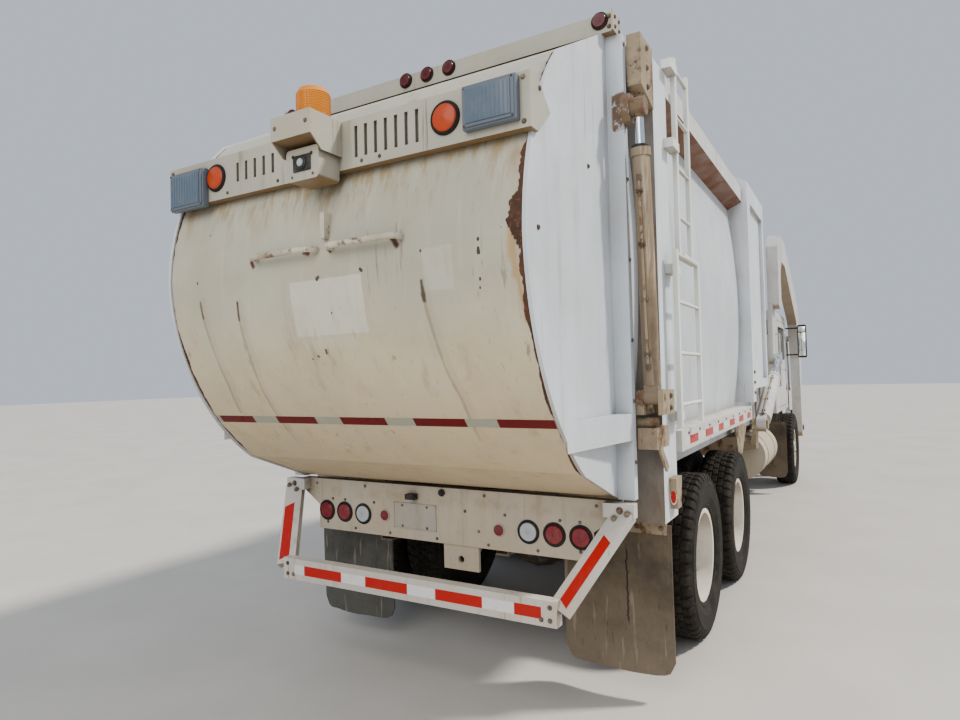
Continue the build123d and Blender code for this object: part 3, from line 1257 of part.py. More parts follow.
def work_lamp(y_range, z_range):
    """Rectangular lamp with a narrower lens on its housing."""
    front = LIGHT_BAR_X - WORK_LAMP_DEPTH
    border = 18
    housing = box((front + 12, LIGHT_BAR_X), y_range, z_range)
    lens_y = (y_range[0] + border, y_range[1] - border)
    return housing + box((front, front + 12), lens_y, (z_range[0] + border, z_range[1] - border))


def gate_lamps():
    """Header lamps, round lamps and work lamps on the light bar."""
    lamps = []
    for y in HEADER_LAMP_YS:
        lens = rod_x(y, HEADER_LAMP_Z, HEADER_LAMP_RADIUS, HEADER_X[0] - 22, HEADER_X[0])
        lamps.append(lens + rod_x(y, HEADER_LAMP_Z, HEADER_LAMP_RADIUS + 6, HEADER_X[0] - 10, HEADER_X[0]))
    y, z, radius = ROUND_LAMP
    for side in (-1, 1):
        lens = rod_x(side * y, z, radius, LIGHT_BAR_X - 20, LIGHT_BAR_X)
        lamps.append(lens + rod_x(side * y, z, radius + 8, LIGHT_BAR_X - 8, LIGHT_BAR_X))
    return lamps + [work_lamp(*WORK_LAMP_LEFT), work_lamp(*WORK_LAMP_RIGHT)]


def beacon_box():
    """Hood with triangular cheeks over a camera housing, on the light bar's face."""
    top = LIGHT_BAR_Z[1]
    low, high = BEACON_BOX_Y
    hood = side_prism(side_outline([
        (LIGHT_BAR_X, top), (BEACON_BOX_X, top), (BEACON_BOX_X, top - 105), (LIGHT_BAR_X, top - 105),
    ]), low, high)
    cheek = side_outline([
        (LIGHT_BAR_X, top), (BEACON_BOX_X, top - 100), (CAMERA_BOX_X, top - 160), (LIGHT_BAR_X, top - 160),
    ])
    parts = [hood, side_prism(cheek, low, low + BEACON_CHEEK), side_prism(cheek, high - BEACON_CHEEK, high)]
    camera = box((CAMERA_BOX_X, LIGHT_BAR_X), CAMERA_BOX_Y, (CAMERA_BOX_Z, top - 130))
    camera = fillet(camera.edges().filter_by(Axis.X), 20)
    neck_y = (CAMERA_BOX_Y[0] + 60, CAMERA_BOX_Y[1] - 60)
    neck = box((CAMERA_BOX_X + 50, LIGHT_BAR_X), neck_y, (top - 131, top - 104))
    return fused(parts + [camera, neck])


def beacon():
    """Round warning beacon: base ring and domed lens."""
    r = BEACON_RADIUS
    top = BEACON_HEIGHT
    profile = make_face(Polyline([
        (0, 0, 0), (r, 0, 0), (r, 0, 22), (r - 6, 0, 26), (r - 10, 0, top - 22), (r - 26, 0, top),
        (0, 0, top),
    ], close=True))
    return Pos(BEACON_X, BEACON_Y, LIGHT_BAR_Z[1]) * revolve(profile, axis=Axis.Z)


def gate_handles():
    """Two bent pipe grips and a small upright bar, seated on the skin."""
    grips = []
    for low, high in (GRIP_LEFT, GRIP_RIGHT):
        grips.append(bent_pipe([
            (GRIP_SEAT_X, low, GRIP_Z), (GRIP_X, low, GRIP_Z),
            (GRIP_X, high, GRIP_Z), (GRIP_SEAT_X, high, GRIP_Z),
        ], GRIP_BEND, GRIP_RADIUS))
    upright_y = (UPRIGHT_GRIP_Y - 12, UPRIGHT_GRIP_Y + 12)
    upright = box((GRIP_X + 25, GRIP_SEAT_X), upright_y, UPRIGHT_GRIP_Z)
    body = gate_solid(GATE_SKIN_INSET, GATE_HALF)
    return [shape - body for shape in grips + [upright]]


def gate_hinges():
    """Hinge lugs on the body's rear ring with the pins the tailgate turns on."""
    inner = HINGE_LUG_Y[1] + 5
    lug = box((HINGE_X - 40, RING_X[0]), (inner, inner + 55), (HINGE_Z - 60, HINGE_Z + 60))
    lug += rod_y(HINGE_X, HINGE_Z, HINGE_PIN_RADIUS, HINGE_LUG_Y[0] - 10, inner)
    guard_y = (FLANGE_HALF + 5, FLANGE_HALF + 5 + HINGE_BOX_WIDTH)
    guard = side_prism(side_outline([
        (RING_X[0], HINGE_BOX_Z[0]), (HINGE_BOX_X, HINGE_BOX_Z[0] + 60), (HINGE_BOX_X, HINGE_BOX_Z[1]),
        (RING_X[0], HINGE_BOX_Z[1]),
    ]), *guard_y)
    return pair(lug) + pair(guard)


def gate_ram_mounts():
    """Clevises on the rear posts with the rams' base pins, and the tailgate locks below."""
    x, z = GATE_RAM_BASE
    inner = GATE_EAR_Y - SEAT_GAP
    outer = GATE_EAR_Y + GATE_RAM_WIDTH + SEAT_GAP
    edge = outer + GATE_CLEVIS_PLATE
    reach = (x - 40, RING_X[0])
    clevis = box(reach, (FLANGE_HALF, inner), GATE_CLEVIS_Z)
    clevis += box(reach, (outer, edge), GATE_CLEVIS_Z)
    clevis += box((RING_X[0] - GATE_CLEVIS_PLATE, RING_X[0]), (FLANGE_HALF, edge), GATE_CLEVIS_Z)
    clevis += rod_y(x, z, GATE_PIN_RADIUS, inner - 10, edge + 8)
    lock = box(reach, (FLANGE_HALF + 5, FRAME_HALF + 30), GATE_LOCK_Z)
    lock += rod_y(x + 20, GATE_LOCK_TUBE_Z, GATE_LOCK_TUBE_RADIUS, FLANGE_HALF - 40, FRAME_HALF + 20)
    lever_low = GATE_LOCK_Z[0] - 130
    lock += side_prism(side_outline([
        (x - 20, GATE_LOCK_Z[0] + 30), (x + 30, GATE_LOCK_Z[0] + 30), (RING_X[0], lever_low + 20),
        (RING_X[0] - 40, lever_low),
    ]), FRAME_HALF + 18, FRAME_HALF + 30)
    return pair(clevis) + pair(lock)


# Hydraulic rams

def ram_frame(base, eye, y):
    """Plane at the base pin whose X runs towards the eye and whose Y is the vehicle's Y."""
    run = Vector(eye[0] - base[0], 0, eye[1] - base[1])
    return Plane(origin=(base[0], y, base[1]), x_dir=run, z_dir=run.cross(Vector(0, 1, 0)))


def pin_distance(base, eye):
    return math.hypot(eye[0] - base[0], eye[1] - base[1])


def ram_barrel(base, eye, y, length, radius, rod_radius, pin_radius, width):
    """Barrel with its base lug, gland collar and the bore that the rod slides in."""
    frame = ram_frame(base, eye, y)
    neck = 1.4 * radius
    bottom = 1.8 * radius
    barrel = rod_x(0, 0, radius, neck, length) + rod_x(0, 0, radius + GLAND_RIM, length - GLAND, length)
    barrel += rod_y(0, 0, radius, -width / 2, width / 2)
    barrel += box((0, neck), (-width / 2, width / 2), (-0.8 * radius, 0.8 * radius))
    barrel -= rod_y(0, 0, pin_radius + SHAFT_GAP, -width, width)
    barrel -= rod_x(0, 0, rod_radius + SHAFT_GAP, bottom, length + 1)
    barrel -= rod_x(0, 0, rod_radius + GLAND_RIM, bottom, length - 2 * GLAND)
    return frame * barrel


def ram_rod(base, eye, y, inner_end, radius, eye_radius, width):
    frame = ram_frame(base, eye, y)
    reach = pin_distance(base, eye)
    rod = rod_x(0, 0, radius, inner_end, reach)
    lug = rod_y(reach, 0, eye_radius, -width / 2, width / 2)
    return frame * (rod + lug)


def gate_barrels():
    return pair(ram_barrel(
        GATE_RAM_BASE, GATE_RAM_EYE, GATE_RAM_Y, GATE_BARREL_LENGTH,
        GATE_RAM_RADIUS, GATE_ROD_RADIUS, GATE_PIN_RADIUS, GATE_RAM_WIDTH,
    ))


def gate_rods():
    return pair(ram_rod(
        GATE_RAM_BASE, GATE_RAM_EYE, GATE_RAM_Y, GATE_ROD_INNER,
        GATE_ROD_RADIUS, GATE_ROD_EYE, GATE_RAM_WIDTH,
    ))


def arm_barrels():
    return pair(ram_barrel(
        ARM_RAM_BASE, ARM_CRANK, ARM_RAM_Y, ARM_BARREL_LENGTH,
        ARM_RAM_RADIUS, ARM_ROD_RADIUS, ARM_PIN_RADIUS, ARM_RAM_WIDTH,
    ))


def arm_rods():
    return pair(ram_rod(
        ARM_RAM_BASE, ARM_CRANK, ARM_RAM_Y, ARM_ROD_INNER, ARM_ROD_RADIUS, ARM_ROD_EYE, ARM_RAM_WIDTH,
    ))


def fork_barrels():
    return pair(ram_barrel(
        FORK_RAM_BASE, FORK_CRANK, FORK_RAM_Y, FORK_BARREL_LENGTH,
        FORK_RAM_RADIUS, FORK_ROD_RADIUS, FORK_RAM_PIN_RADIUS, FORK_RAM_WIDTH,
    ))


def fork_rods():
    return pair(ram_rod(
        FORK_RAM_BASE, FORK_CRANK, FORK_RAM_Y, FORK_ROD_INNER, FORK_ROD_RADIUS, FORK_ROD_EYE, FORK_RAM_WIDTH,
    ))


def arm_ram_mounts():
    """Outriggers from the chassis rails that carry the lift rams' base pins."""
    x, z = ARM_RAM_BASE
    face = ARM_RAM_Y - ARM_RAM_WIDTH / 2 - SEAT_GAP
    outrigger = cross_prism([
        (RAIL_OUTER_Y, RAIL_TOP), (RAIL_OUTER_Y, RAIL_BOTTOM + 40), (face, RAIL_TOP - 120), (face, RAIL_TOP),
    ], x - 120, x + 40)
    cheek = side_prism(side_outline([
        (x - 120, RAIL_TOP), (x + 60, RAIL_TOP), (x + 60, z + 30),
        (x + 30, z + 60), (x - 30, z + 60), (x - 120, z - 40),
    ]), face - 40, face)
    pin = rod_y(x, z, ARM_PIN_RADIUS, face - 15, ARM_RAM_Y + ARM_RAM_WIDTH / 2 + 15)
    outer = ARM_RAM_Y + ARM_RAM_WIDTH / 2 + SEAT_GAP
    head = rod_y(x, z, ARM_PIN_RADIUS + 15, outer, outer + 20)
    return pair(fused([outrigger, cheek, pin, head]))


# Arms and forks

def arm_beam():
    """One box beam that rises behind the cab, arches over the door and drops to the fork pivot."""
    x, z = ARM_PIVOT
    split = ARM_SPLIT_Z
    fx, fz = FORK_PIVOT
    outline = rounded_outline([
        (x - 50, split), (x + 250, split), (x + 250, split + 480), (x + 400, split + 660),
        (x + 850, split + 660), (fx - 640, split + 20), (fx - 500, split - 70), (fx - 200, ARM_KNEE_Z),
        (fx - 120, fz), (fx + 120, fz), (fx + 120, ARM_KNEE_Z), (fx - 120, split + 140),
        (fx - 450, split + 330), (fx - 1360, split + 710), (x + 850, split + 1000),
        (x + 220, split + 1000), (x - 50, split + 800),
    ], ARM_ROUND)
    return side_prism(outline, ARM_INNER_Y, ARM_OUTER_Y)


def arm_crank():
    """Thin plate from the beam's foot past the pivot down to the lift ram's eye."""
    x, z = ARM_PIVOT
    ax, az = ARM_CRANK
    split = ARM_SPLIT_Z
    plate = side_prism(side_outline([
        (x - 50, split + 60), (x - 150, z), (ax - 80, az), (ax + 80, az), (x + 150, z), (x + 200, split + 60),
    ]), ARM_INNER_Y, CRANK_OUTER_Y)
    plate += rod_y(x, z, 1.5 * TORQUE_TUBE_RADIUS, ARM_INNER_Y, CRANK_OUTER_Y)
    return plate + rod_y(ax, az, 85, ARM_INNER_Y, CRANK_OUTER_Y)


def lift_arms():
    """Two cranked arms that arch over the cab, joined by the torque tube behind it."""
    px, pz = ARM_PIVOT
    fx, fz = FORK_PIVOT
    boss = rod_y(fx, fz, FORK_BOSS_RADIUS, ARM_INNER_Y, ARM_OUTER_Y)
    arm = fused([arm_beam(), boss, arm_crank()])
    arm -= rod_y(fx, fz, FORK_PIN_RADIUS + SHAFT_GAP, ARM_INNER_Y - 10, ARM_OUTER_Y + 10)
    bx, bz = FORK_RAM_BASE
    ram_half = FORK_RAM_WIDTH / 2
    arm += rod_y(bx, bz, FORK_RAM_PIN_RADIUS, FORK_RAM_Y - ram_half - 10, ARM_INNER_Y)
    arm += rod_y(bx, bz, FORK_RAM_PIN_RADIUS + 20, FORK_RAM_Y + ram_half + SEAT_GAP, ARM_INNER_Y)
    tube = rod_y(px, pz, TORQUE_TUBE_RADIUS, -ARM_INNER_Y, ARM_INNER_Y)
    return fused([arm, mirrored(arm), tube])


def forks():
    """Cross tube between the arms with two tapered tines, folded up at rest."""
    x, z = FORK_PIVOT
    reach = ARM_INNER_Y - SEAT_GAP
    parts = [rod_y(x, z, FORK_TUBE_RADIUS, -reach, reach)]
    parts.append(rod_y(x, z, FORK_PIN_RADIUS, -ARM_OUTER_Y - 20, ARM_OUTER_Y + 20))
    tine = side_prism(side_outline([
        (x - FORK_TUBE_RADIUS, z), (FORK_FACE_X, z), (FORK_FACE_X, FORK_TIP_Z), (x + 35, FORK_TIP_Z),
        (x - 50, z + 700),
    ]), FORK_Y - FORK_HALF_WIDTH, FORK_Y + FORK_HALF_WIDTH)
    parts.extend(pair(tine))
    cx, cz = FORK_CRANK
    crank = side_prism(side_outline([(x - 65, z), (x + 65, z), (cx + 40, cz), (cx - 40, cz)]), *FORK_CRANK_Y)
    crank += rod_y(cx, cz, FORK_ROD_EYE, *FORK_CRANK_Y)
    parts.extend(pair(crank))
    return fused(parts)


# Nodes

def side_nodes(side, copy):
    """The sub-parts that stand on one side of the vehicle, copied there from the left."""
    table = {
        f"door_{side}": [door()],
        f"door_glass_{side}": [door_glass()],
        f"knuckle_{side}": [knuckle()],
        f"tyre_front_{side}": front_tyre(),
        f"rim_front_{side}": front_rim(),
    }
    for number, x in enumerate(REAR_AXLES_X, start=1):
        table[f"tyres_rear_{number}_{side}"] = twin_tyres(x)
        table[f"rims_rear_{number}_{side}"] = twin_rims(x)
    return {name: [copy(shape) for shape in shapes] for name, shapes in table.items()}


def nodes():
    """Every sub-part by name, as lists of solids."""
    mounts = gate_hinges() + gate_ram_mounts() + arm_ram_mounts()
    table = {
        "chassis_frame": [chassis_frame()],
        "rear_panel": rear_panel(),
        "rear_bumper": [rear_bumper()],
        "truck_lamps": truck_lamps(),
        "body_shell": [body_shell()],
        "body_frames": body_frames(),
        "roof_rails": roof_rails(),
        "wheel_shelves": wheel_shelves(),
        "hopper": [hopper()],
        "ladder": [ladder()],
        "mud_flaps": mud_flaps(),
        "brackets": flap_brackets() + arm_bearings() + mounts,
        "axles": axles(),
        "engine": engine() + drive_shafts(),
        "tanks": tanks(),
        "cab_shell": [cab_shell()],
        "cab_glass": cab_glass(),
        "cab_interior": cab_interior(),
        "steering_wheel": [steering_wheel()],
        "front_bumper": [front_bumper()],
        "grille": [grille()],
        "steps": steps(),
        "mirrors": mirrors(),
        "packer_blade": [packer_blade()],
        "gate_sides": gate_sides(),
        "gate_skin": [gate_skin()],
        "gate_header": [gate_header()],
        "light_bar": [light_bar()],
        "gate_lamps": gate_lamps(),
        "beacon_box": [beacon_box()],
        "beacon": [beacon()],
        "gate_handles": gate_handles(),
        "gate_barrels": gate_barrels(),
        "gate_rods": gate_rods(),
        "lift_arms": [lift_arms()],
        "arm_barrels": arm_barrels(),
        "arm_rods": arm_rods(),
        "forks": [forks()],
        "fork_barrels": fork_barrels(),
        "fork_rods": fork_rods(),
    }
    table.update(side_nodes("left", lambda shape: shape))
    table.update(side_nodes("right", mirrored))
    return table


def main():
    os.makedirs("parts", exist_ok=True)
    for name, shapes in nodes().items():
        export_step(placed(shapes), f"parts/{name}.step")


main()
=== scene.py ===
import json
import math
from functools import reduce

import bmesh
import bpy
from mathutils import Matrix, Vector, noise
from mathutils.bvhtree import BVHTree


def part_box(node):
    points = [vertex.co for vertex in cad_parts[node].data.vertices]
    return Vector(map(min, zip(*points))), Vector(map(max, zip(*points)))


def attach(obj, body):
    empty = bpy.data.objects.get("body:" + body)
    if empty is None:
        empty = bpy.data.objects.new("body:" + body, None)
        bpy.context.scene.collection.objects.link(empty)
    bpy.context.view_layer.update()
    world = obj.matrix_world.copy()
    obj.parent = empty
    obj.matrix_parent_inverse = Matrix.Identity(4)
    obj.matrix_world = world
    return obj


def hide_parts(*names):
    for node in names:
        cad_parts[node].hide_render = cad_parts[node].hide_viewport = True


# Looks of a front-loading garbage truck. Metres, X forwards, Y to the left, Z up.

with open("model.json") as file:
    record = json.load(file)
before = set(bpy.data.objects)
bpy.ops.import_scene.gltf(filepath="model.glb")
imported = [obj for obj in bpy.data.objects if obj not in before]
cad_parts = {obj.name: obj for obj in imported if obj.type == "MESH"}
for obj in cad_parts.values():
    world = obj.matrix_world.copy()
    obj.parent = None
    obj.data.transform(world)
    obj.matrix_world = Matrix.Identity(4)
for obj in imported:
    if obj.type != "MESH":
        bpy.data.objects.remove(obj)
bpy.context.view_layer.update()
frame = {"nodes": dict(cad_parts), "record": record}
nodes = frame["nodes"]

# Where the rear light panel stands, from which stations along the truck are counted
PANEL_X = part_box("rear_panel")[0].x

# Camera, found from points of the photograph
CAMERA_STATION = Vector((-3.136, -2.125, 1.740))
CAMERA_RIGHT = Vector((0.5045, -0.8630, -0.0239))
CAMERA_UP = Vector((-0.0096, -0.0333, 0.9994))
CAMERA_AHEAD = Vector((0.8634, 0.5040, 0.0251))
CAMERA_LENS = 24.51
CAMERA_SENSOR = 36.0


# Node graphs

materials = {}


class Graph:
    """A node material that is built up from the shader's inputs, with its colour so far."""

    def __init__(self, name, color=None):
        self.material = bpy.data.materials.new(name)
        materials[name] = self.material
        self.material.use_nodes = True
        self.tree = self.material.node_tree
        self.tree.nodes.clear()
        self.shader = self.add("BsdfPrincipled")
        self.add("OutputMaterial", {"Surface": self.shader.outputs["BSDF"]})
        self.place = self.add("TexCoord").outputs["Object"]
        self.x, self.y, self.z = self.split(self.place)
        self.wander = None
        self.color = color

    def add(self, kind, feeds=(), **settings):
        """A new node with its settings, and its sockets fed by name or number."""
        node = self.tree.nodes.new("ShaderNode" + kind)
        for key, value in settings.items():
            setattr(node, key, value)
        for socket, value in dict(feeds).items():
            self.feed(value, node.inputs[socket])
        return node

    def feed(self, value, socket):
        """Connect an output, or set a plain value."""
        if isinstance(value, bpy.types.NodeSocket):
            self.tree.links.new(value, socket)
        elif socket.type == "RGBA":
            socket.default_value = (*value, 1.0)
        else:
            socket.default_value = value

    def split(self, vector):
        return self.add("SeparateXYZ", {0: vector}).outputs

    def facing(self):
        """The surface's own direction, in the piece's frame."""
        return self.split(self.add("TexCoord").outputs["Normal"])

    def math(self, operation, a, b=0.0, clamp=False):
        return self.add("Math", {0: a, 1: b}, operation=operation, use_clamp=clamp).outputs[0]

    def times(self, *values):
        return reduce(lambda a, b: self.math("MULTIPLY", a, b), values)

    def most(self, *values):
        return reduce(lambda a, b: self.math("MAXIMUM", a, b), values)

    def plus(self, a, b):
        return self.math("ADD", a, b)

    def minus(self, a, b):
        return self.math("SUBTRACT", a, b)

    def size_of(self, value):
        """The value without its sign."""
        return self.math("ABSOLUTE", value)

    def mapped(self, stretch=(1, 1, 1), shift=(0, 0, 0)):
        return self.add("Mapping", {"Vector": self.place, "Scale": stretch, "Location": shift}).outputs[0]

    def noise(self, scale, detail=4.0, roughness=0.55, stretch=(1, 1, 1), shift=(0, 0, 0)):
        feeds = {"Vector": self.mapped(stretch, shift), "Scale": scale, "Detail": detail}
        feeds["Roughness"] = roughness
        return self.add("TexNoise", feeds).outputs["Fac"]

    def cells(self, scale):
        return self.add("TexVoronoi", {"Vector": self.mapped(), "Scale": scale}).outputs["Distance"]

    def fade(self, value, low, high):
        """0 at low, 1 at high, smooth between, in either direction."""
        feeds = {"Value": value, "From Min": low, "From Max": high}
        return self.add("MapRange", feeds, interpolation_type="SMOOTHSTEP").outputs[0]

    def window(self, value, rise, fall):
        """1 between two fades."""
        return self.times(self.fade(value, *rise), self.fade(value, *fall))

    def blots(self, low, high, *scales, **placing):
        """Noise, faded from 0 at one level to 1 at another."""
        return self.fade(self.noise(*scales, **placing), low, high)

    def crevice(self, reach):
        """1 in corners and under edges, 0 on open faces."""
        open_share = self.add("AmbientOcclusion", {"Distance": reach}, samples=6).outputs["AO"]
        return self.math("SUBTRACT", 1.0, open_share, clamp=True)

    def mix(self, factor, a, b):
        """A colour between two."""
        return self.add("Mix", {"Factor": factor, 6: a, 7: b}, data_type="RGBA").outputs[2]

    def blend(self, factor, a, b):
        """A value between two."""
        return self.add("Mix", {"Factor": factor, 2: a, 3: b}).outputs[0]

    def paint(self, tone, mask, *shares):
        """Lays a tone over the colour where the mask is 1, by a share of it."""
        self.color = self.mix(self.times(mask, *shares), self.color, tone)

    def bump(self, height, distance, strength, over=None):
        feeds = {"Distance": distance, "Strength": strength, "Height": height}
        if over is not None:
            feeds["Normal"] = over
        return self.add("Bump", feeds).outputs["Normal"]

    def finish(self, roughness, normal, specular=0.5, **others):
        """Sets the shader's sockets, and others by name, such as coat_weight."""
        feeds = {"Base Color": self.color, "Roughness": roughness, "Normal": normal,
                 "Specular IOR Level": specular}
        feeds.update({key.replace("_", " ").title(): value for key, value in others.items()})
        for name, value in feeds.items():
            self.feed(value, self.shader.inputs[name])


# Materials

DUST = (0.43, 0.335, 0.225)
TAN = (0.43, 0.32, 0.19)
# Stain, also the colour of the painted shade on faces that point down
STAIN_AND_SHADE = (0.235, 0.160, 0.092)
# Grime, also the colour of the painted shade in corners and crevices
GRIME_AND_SHADE = (0.105, 0.083, 0.062)
RUST_DARK = (0.040, 0.018, 0.012)
RUST = (0.125, 0.048, 0.026)
RUST_BRIGHT = (0.29, 0.125, 0.050)
OLD_RUST = (0.062, 0.034, 0.024)
WHITE = (0.66, 0.66, 0.64)
REPAINT = (0.585, 0.570, 0.475)

# How far a stroke's edge strays, as a share of its width
STRAY = 0.75
# Along X, where the marks of the rear end start and where they are full
REAR_FROM = -4.6
REAR_FULL = -4.8


def rust_color(g):
    """Mottled rust from nearly black to orange."""
    mottle = g.blots(0.35, 0.65, 9.0, 6.0, 0.65)
    speck = g.blots(0.52, 0.75, 60.0, 4.0, 0.6, shift=(3, 1, 7))
    return g.mix(speck, g.mix(mottle, RUST_DARK, RUST), RUST_BRIGHT)


def rear_only(g, mask):
    """Keeps a mask to the rear end of the truck."""
    return g.times(mask, g.fade(g.x, REAR_FROM, REAR_FULL))


def stroke(g, start, end, width):
    """1 along a line between two (y, z) places, 0 beside it, with a wandering edge."""
    if g.wander is None:
        g.wander = g.noise(14.0, 5.0, 0.6)
    run_y, run_z = end[0] - start[0], end[1] - start[1]
    square = run_y * run_y + run_z * run_z
    off_y, off_z = g.minus(g.y, start[0]), g.minus(g.z, start[1])
    dot = g.plus(g.times(off_y, run_y / square), g.times(off_z, run_z / square))
    share = g.math("MULTIPLY", dot, 1.0, clamp=True)
    far_y, far_z = g.minus(off_y, g.times(share, run_y)), g.minus(off_z, g.times(share, run_z))
    away = g.math("SQRT", g.plus(g.times(far_y, far_y), g.times(far_z, far_z)))
    return g.fade(g.plus(away, g.blend(g.wander, -STRAY * width, STRAY * width)), width, 0.2 * width)


def strokes(g, runs):
    """The strongest of several strokes, on the rear of the truck."""
    return rear_only(g, g.most(*[stroke(g, *run) for run in runs]))


def crease_runs(width, points=None, shift=0.0):
    """Strokes from point to point of the creases, or of their first points."""
    runs = []
    for crease in CREASES:
        places = [(y - shift, z) for y, z in crease[:points]]
        runs += [(start, end, width) for start, end in zip(places, places[1:])]
    return runs


def patch(g, y_range, z_range, soft):
    """1 inside a rectangle of (y, z) with ragged edges, on the rear of the truck."""
    ragged = g.blend(g.noise(9.0, 6.0, 0.65, shift=(1, 6, 2)), -soft, soft)
    sides = [g.window(place, (low, low + soft), (high, high - soft))
             for place, (low, high) in ((g.plus(g.y, ragged), y_range), (g.minus(g.z, ragged), z_range))]
    return rear_only(g, g.times(*sides))


def weathered(name, base, dirt, streaks, dust_top, dust, chips, rust=None, gloss=0.42, extra=None, under=0.6,
              under_color=STAIN_AND_SHADE, inner=0.0, inner_from=-0.35):
    """Old truck paint: faded patches, run-down stains, dust low on the truck, painted shade in corners,
    chips and rust spots.
    rust masks a rusted place and extra repaints the graph's colour. under darkens what faces down,
    and inner what faces the truck's middle, both partly stain and partly painted shade."""
    g = Graph(name)
    g.color = g.mix(g.blots(0.3, 0.7, 1.7, 5.0, 0.6), base, [c * 0.84 for c in base])
    if extra is not None:
        extra(g)
    film = g.blots(0.44, 0.74, 3.1, 9.0, 0.70, shift=(5, 2, 9))
    g.paint(TAN, film, dirt)
    # Painted shade: corners and crevices darkened by ambient occlusion, at twice the dirt share
    g.paint(GRIME_AND_SHADE, g.fade(g.crevice(0.18), 0.24, 0.80), min(1.0, dirt * 2.0))
    run = g.blots(0.52, 0.72, 11.0, 5.0, 0.62, stretch=(1, 1, 0.045))
    g.paint(STAIN_AND_SHADE, run, g.blots(0.38, 0.62, 2.3, 4.0, 0.55, shift=(1, 8, 3)), streaks)
    thin_run = g.blots(0.60, 0.70, 38.0, 4.0, 0.6, stretch=(1, 1, 0.03), shift=(2, 9, 4))
    thin_run = g.times(thin_run, g.blots(0.45, 0.62, 1.9, 4.0, 0.6, shift=(8, 1, 1)))
    g.paint((0.15, 0.105, 0.065), thin_run, min(1.0, streaks * 1.4))
    low = g.times(g.fade(g.z, dust_top, 0.25), g.blend(g.noise(7.0, 8.0, 0.7), 0.45, 1.30))
    g.paint(DUST, low, dust)
    side_y, side_z = g.facing()[1:3]
    # Faces that point down darkened, partly stain and partly painted shade
    down = g.times(g.fade(side_z, -0.25, -0.75), g.blend(g.noise(5.0, 7.0, 0.66), 0.70, 1.25))
    g.paint(under_color, g.math("MULTIPLY", down, under, clamp=True))
    if inner > 0:
        # Faces that turn towards the truck's middle darkened, partly dirt and partly painted shade
        inward = g.fade(g.times(side_y, g.math("SIGN", g.y)), inner_from, inner_from - 0.4)
        inward = g.times(inward, g.blend(g.noise(4.0, 8.0, 0.7, stretch=(1, 1, 0.3)), 0.4, 1.15))
        g.paint((0.205, 0.150, 0.100), inward, inner)
    speck = g.blots(0.720, 0.750, 46.0, 5.0, 0.62, shift=(4, 4, 1))
    chip = g.times(speck, g.blots(0.42, 0.62, 1.3, 4.0, 0.6, shift=(9, 3, 2)), chips)
    rusted = rust_color(g)
    if rust is not None:
        chip = g.most(chip, rust(g))
        rusted = g.mix(0.55, rusted, OLD_RUST)
    g.paint(rusted, chip)
    grain = g.bump(g.noise(160.0, 3.0, 0.5), 0.0006, 0.5)
    dents = g.bump(g.noise(2.6, 2.0, 0.4, shift=(7, 7, 7)), 0.014, 0.55, grain)
    g.finish(g.blend(g.most(low, film, chip), gloss, 0.86), g.bump(chip, 0.0012, 0.8, dents), 0.22)


# Rust, dark spots and creases of the tailgate's skin, as (y, z) places with the strokes' widths; creases are
# painted as lines of shade
RUST_SPOTS = [
    ((0.428, 2.322), (0.415, 2.300), 0.017), ((0.076, 2.335), (0.050, 2.322), 0.018),
    ((-0.070, 2.330), (-0.085, 2.315), 0.015), ((-0.436, 2.330), (-0.455, 2.300), 0.020),
    ((0.341, 2.350), (0.325, 2.346), 0.012), ((-0.172, 2.345), (-0.190, 2.340), 0.012),
]
RUST_BULGES = [
    ((-1.055, 2.620), (-1.056, 2.460), 0.042), ((-1.056, 2.460), (-1.050, 2.400), 0.055),
    ((-1.040, 2.385), (-1.038, 2.335), 0.105), ((-1.046, 2.330), (-1.052, 2.240), 0.058),
    ((-1.052, 2.190), (-1.055, 2.120), 0.040), ((-1.050, 2.040), (-1.052, 2.000), 0.036),
    ((-1.058, 1.980), (-1.060, 1.860), 0.026),
]
SCRAPES = [((-0.995, 2.30), (-1.005, 2.12), 0.028), ((-1.015, 2.12), (-1.030, 1.95), 0.016)]
DARK_SPOTS = [
    ((-0.854, 2.277), (-0.854, 2.272), 0.008), ((-0.852, 2.240), (-0.852, 2.222), 0.010),
    ((-0.850, 2.123), (-0.850, 2.118), 0.010), ((-0.846, 2.089), (-0.846, 2.085), 0.007),
    ((-0.578, 2.263), (-0.578, 2.259), 0.009), ((-0.255, 2.220), (-0.262, 2.213), 0.011),
    ((-0.007, 2.208), (0.002, 2.200), 0.014), ((0.837, 2.259), (0.837, 2.255), 0.009),
    ((0.084, 1.854), (0.078, 1.851), 0.011), ((0.025, 1.878), (0.025, 1.866), 0.012),
    ((0.125, 1.842), (0.121, 1.840), 0.008), ((0.764, 2.504), (0.764, 2.500), 0.008),
    ((-0.060, 2.045), (-0.060, 2.041), 0.007),
]
CREASES = [
    [(0.828, 2.155), (0.823, 2.077), (0.805, 1.911), (0.793, 1.726), (0.812, 1.577)],
    [(0.549, 2.134), (0.555, 2.050), (0.547, 1.876), (0.552, 1.686), (0.543, 1.535), (0.539, 1.326)],
    [(-0.571, 2.138), (-0.574, 2.060), (-0.593, 1.916), (-0.612, 1.762), (-0.641, 1.641), (-0.641, 1.456)],
]
TOW_BOLT_RUST = [((-0.262, 0.905), (-0.262, 0.890), 0.024)]
PANEL_FOLD_Z = 1.035

# Rust beside the tailgate's welded seams: where they are, and the heights of the wide patch
SEAM_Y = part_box("gate_skin")[1].y
SEAM_WIDE = (1.80, 2.58)


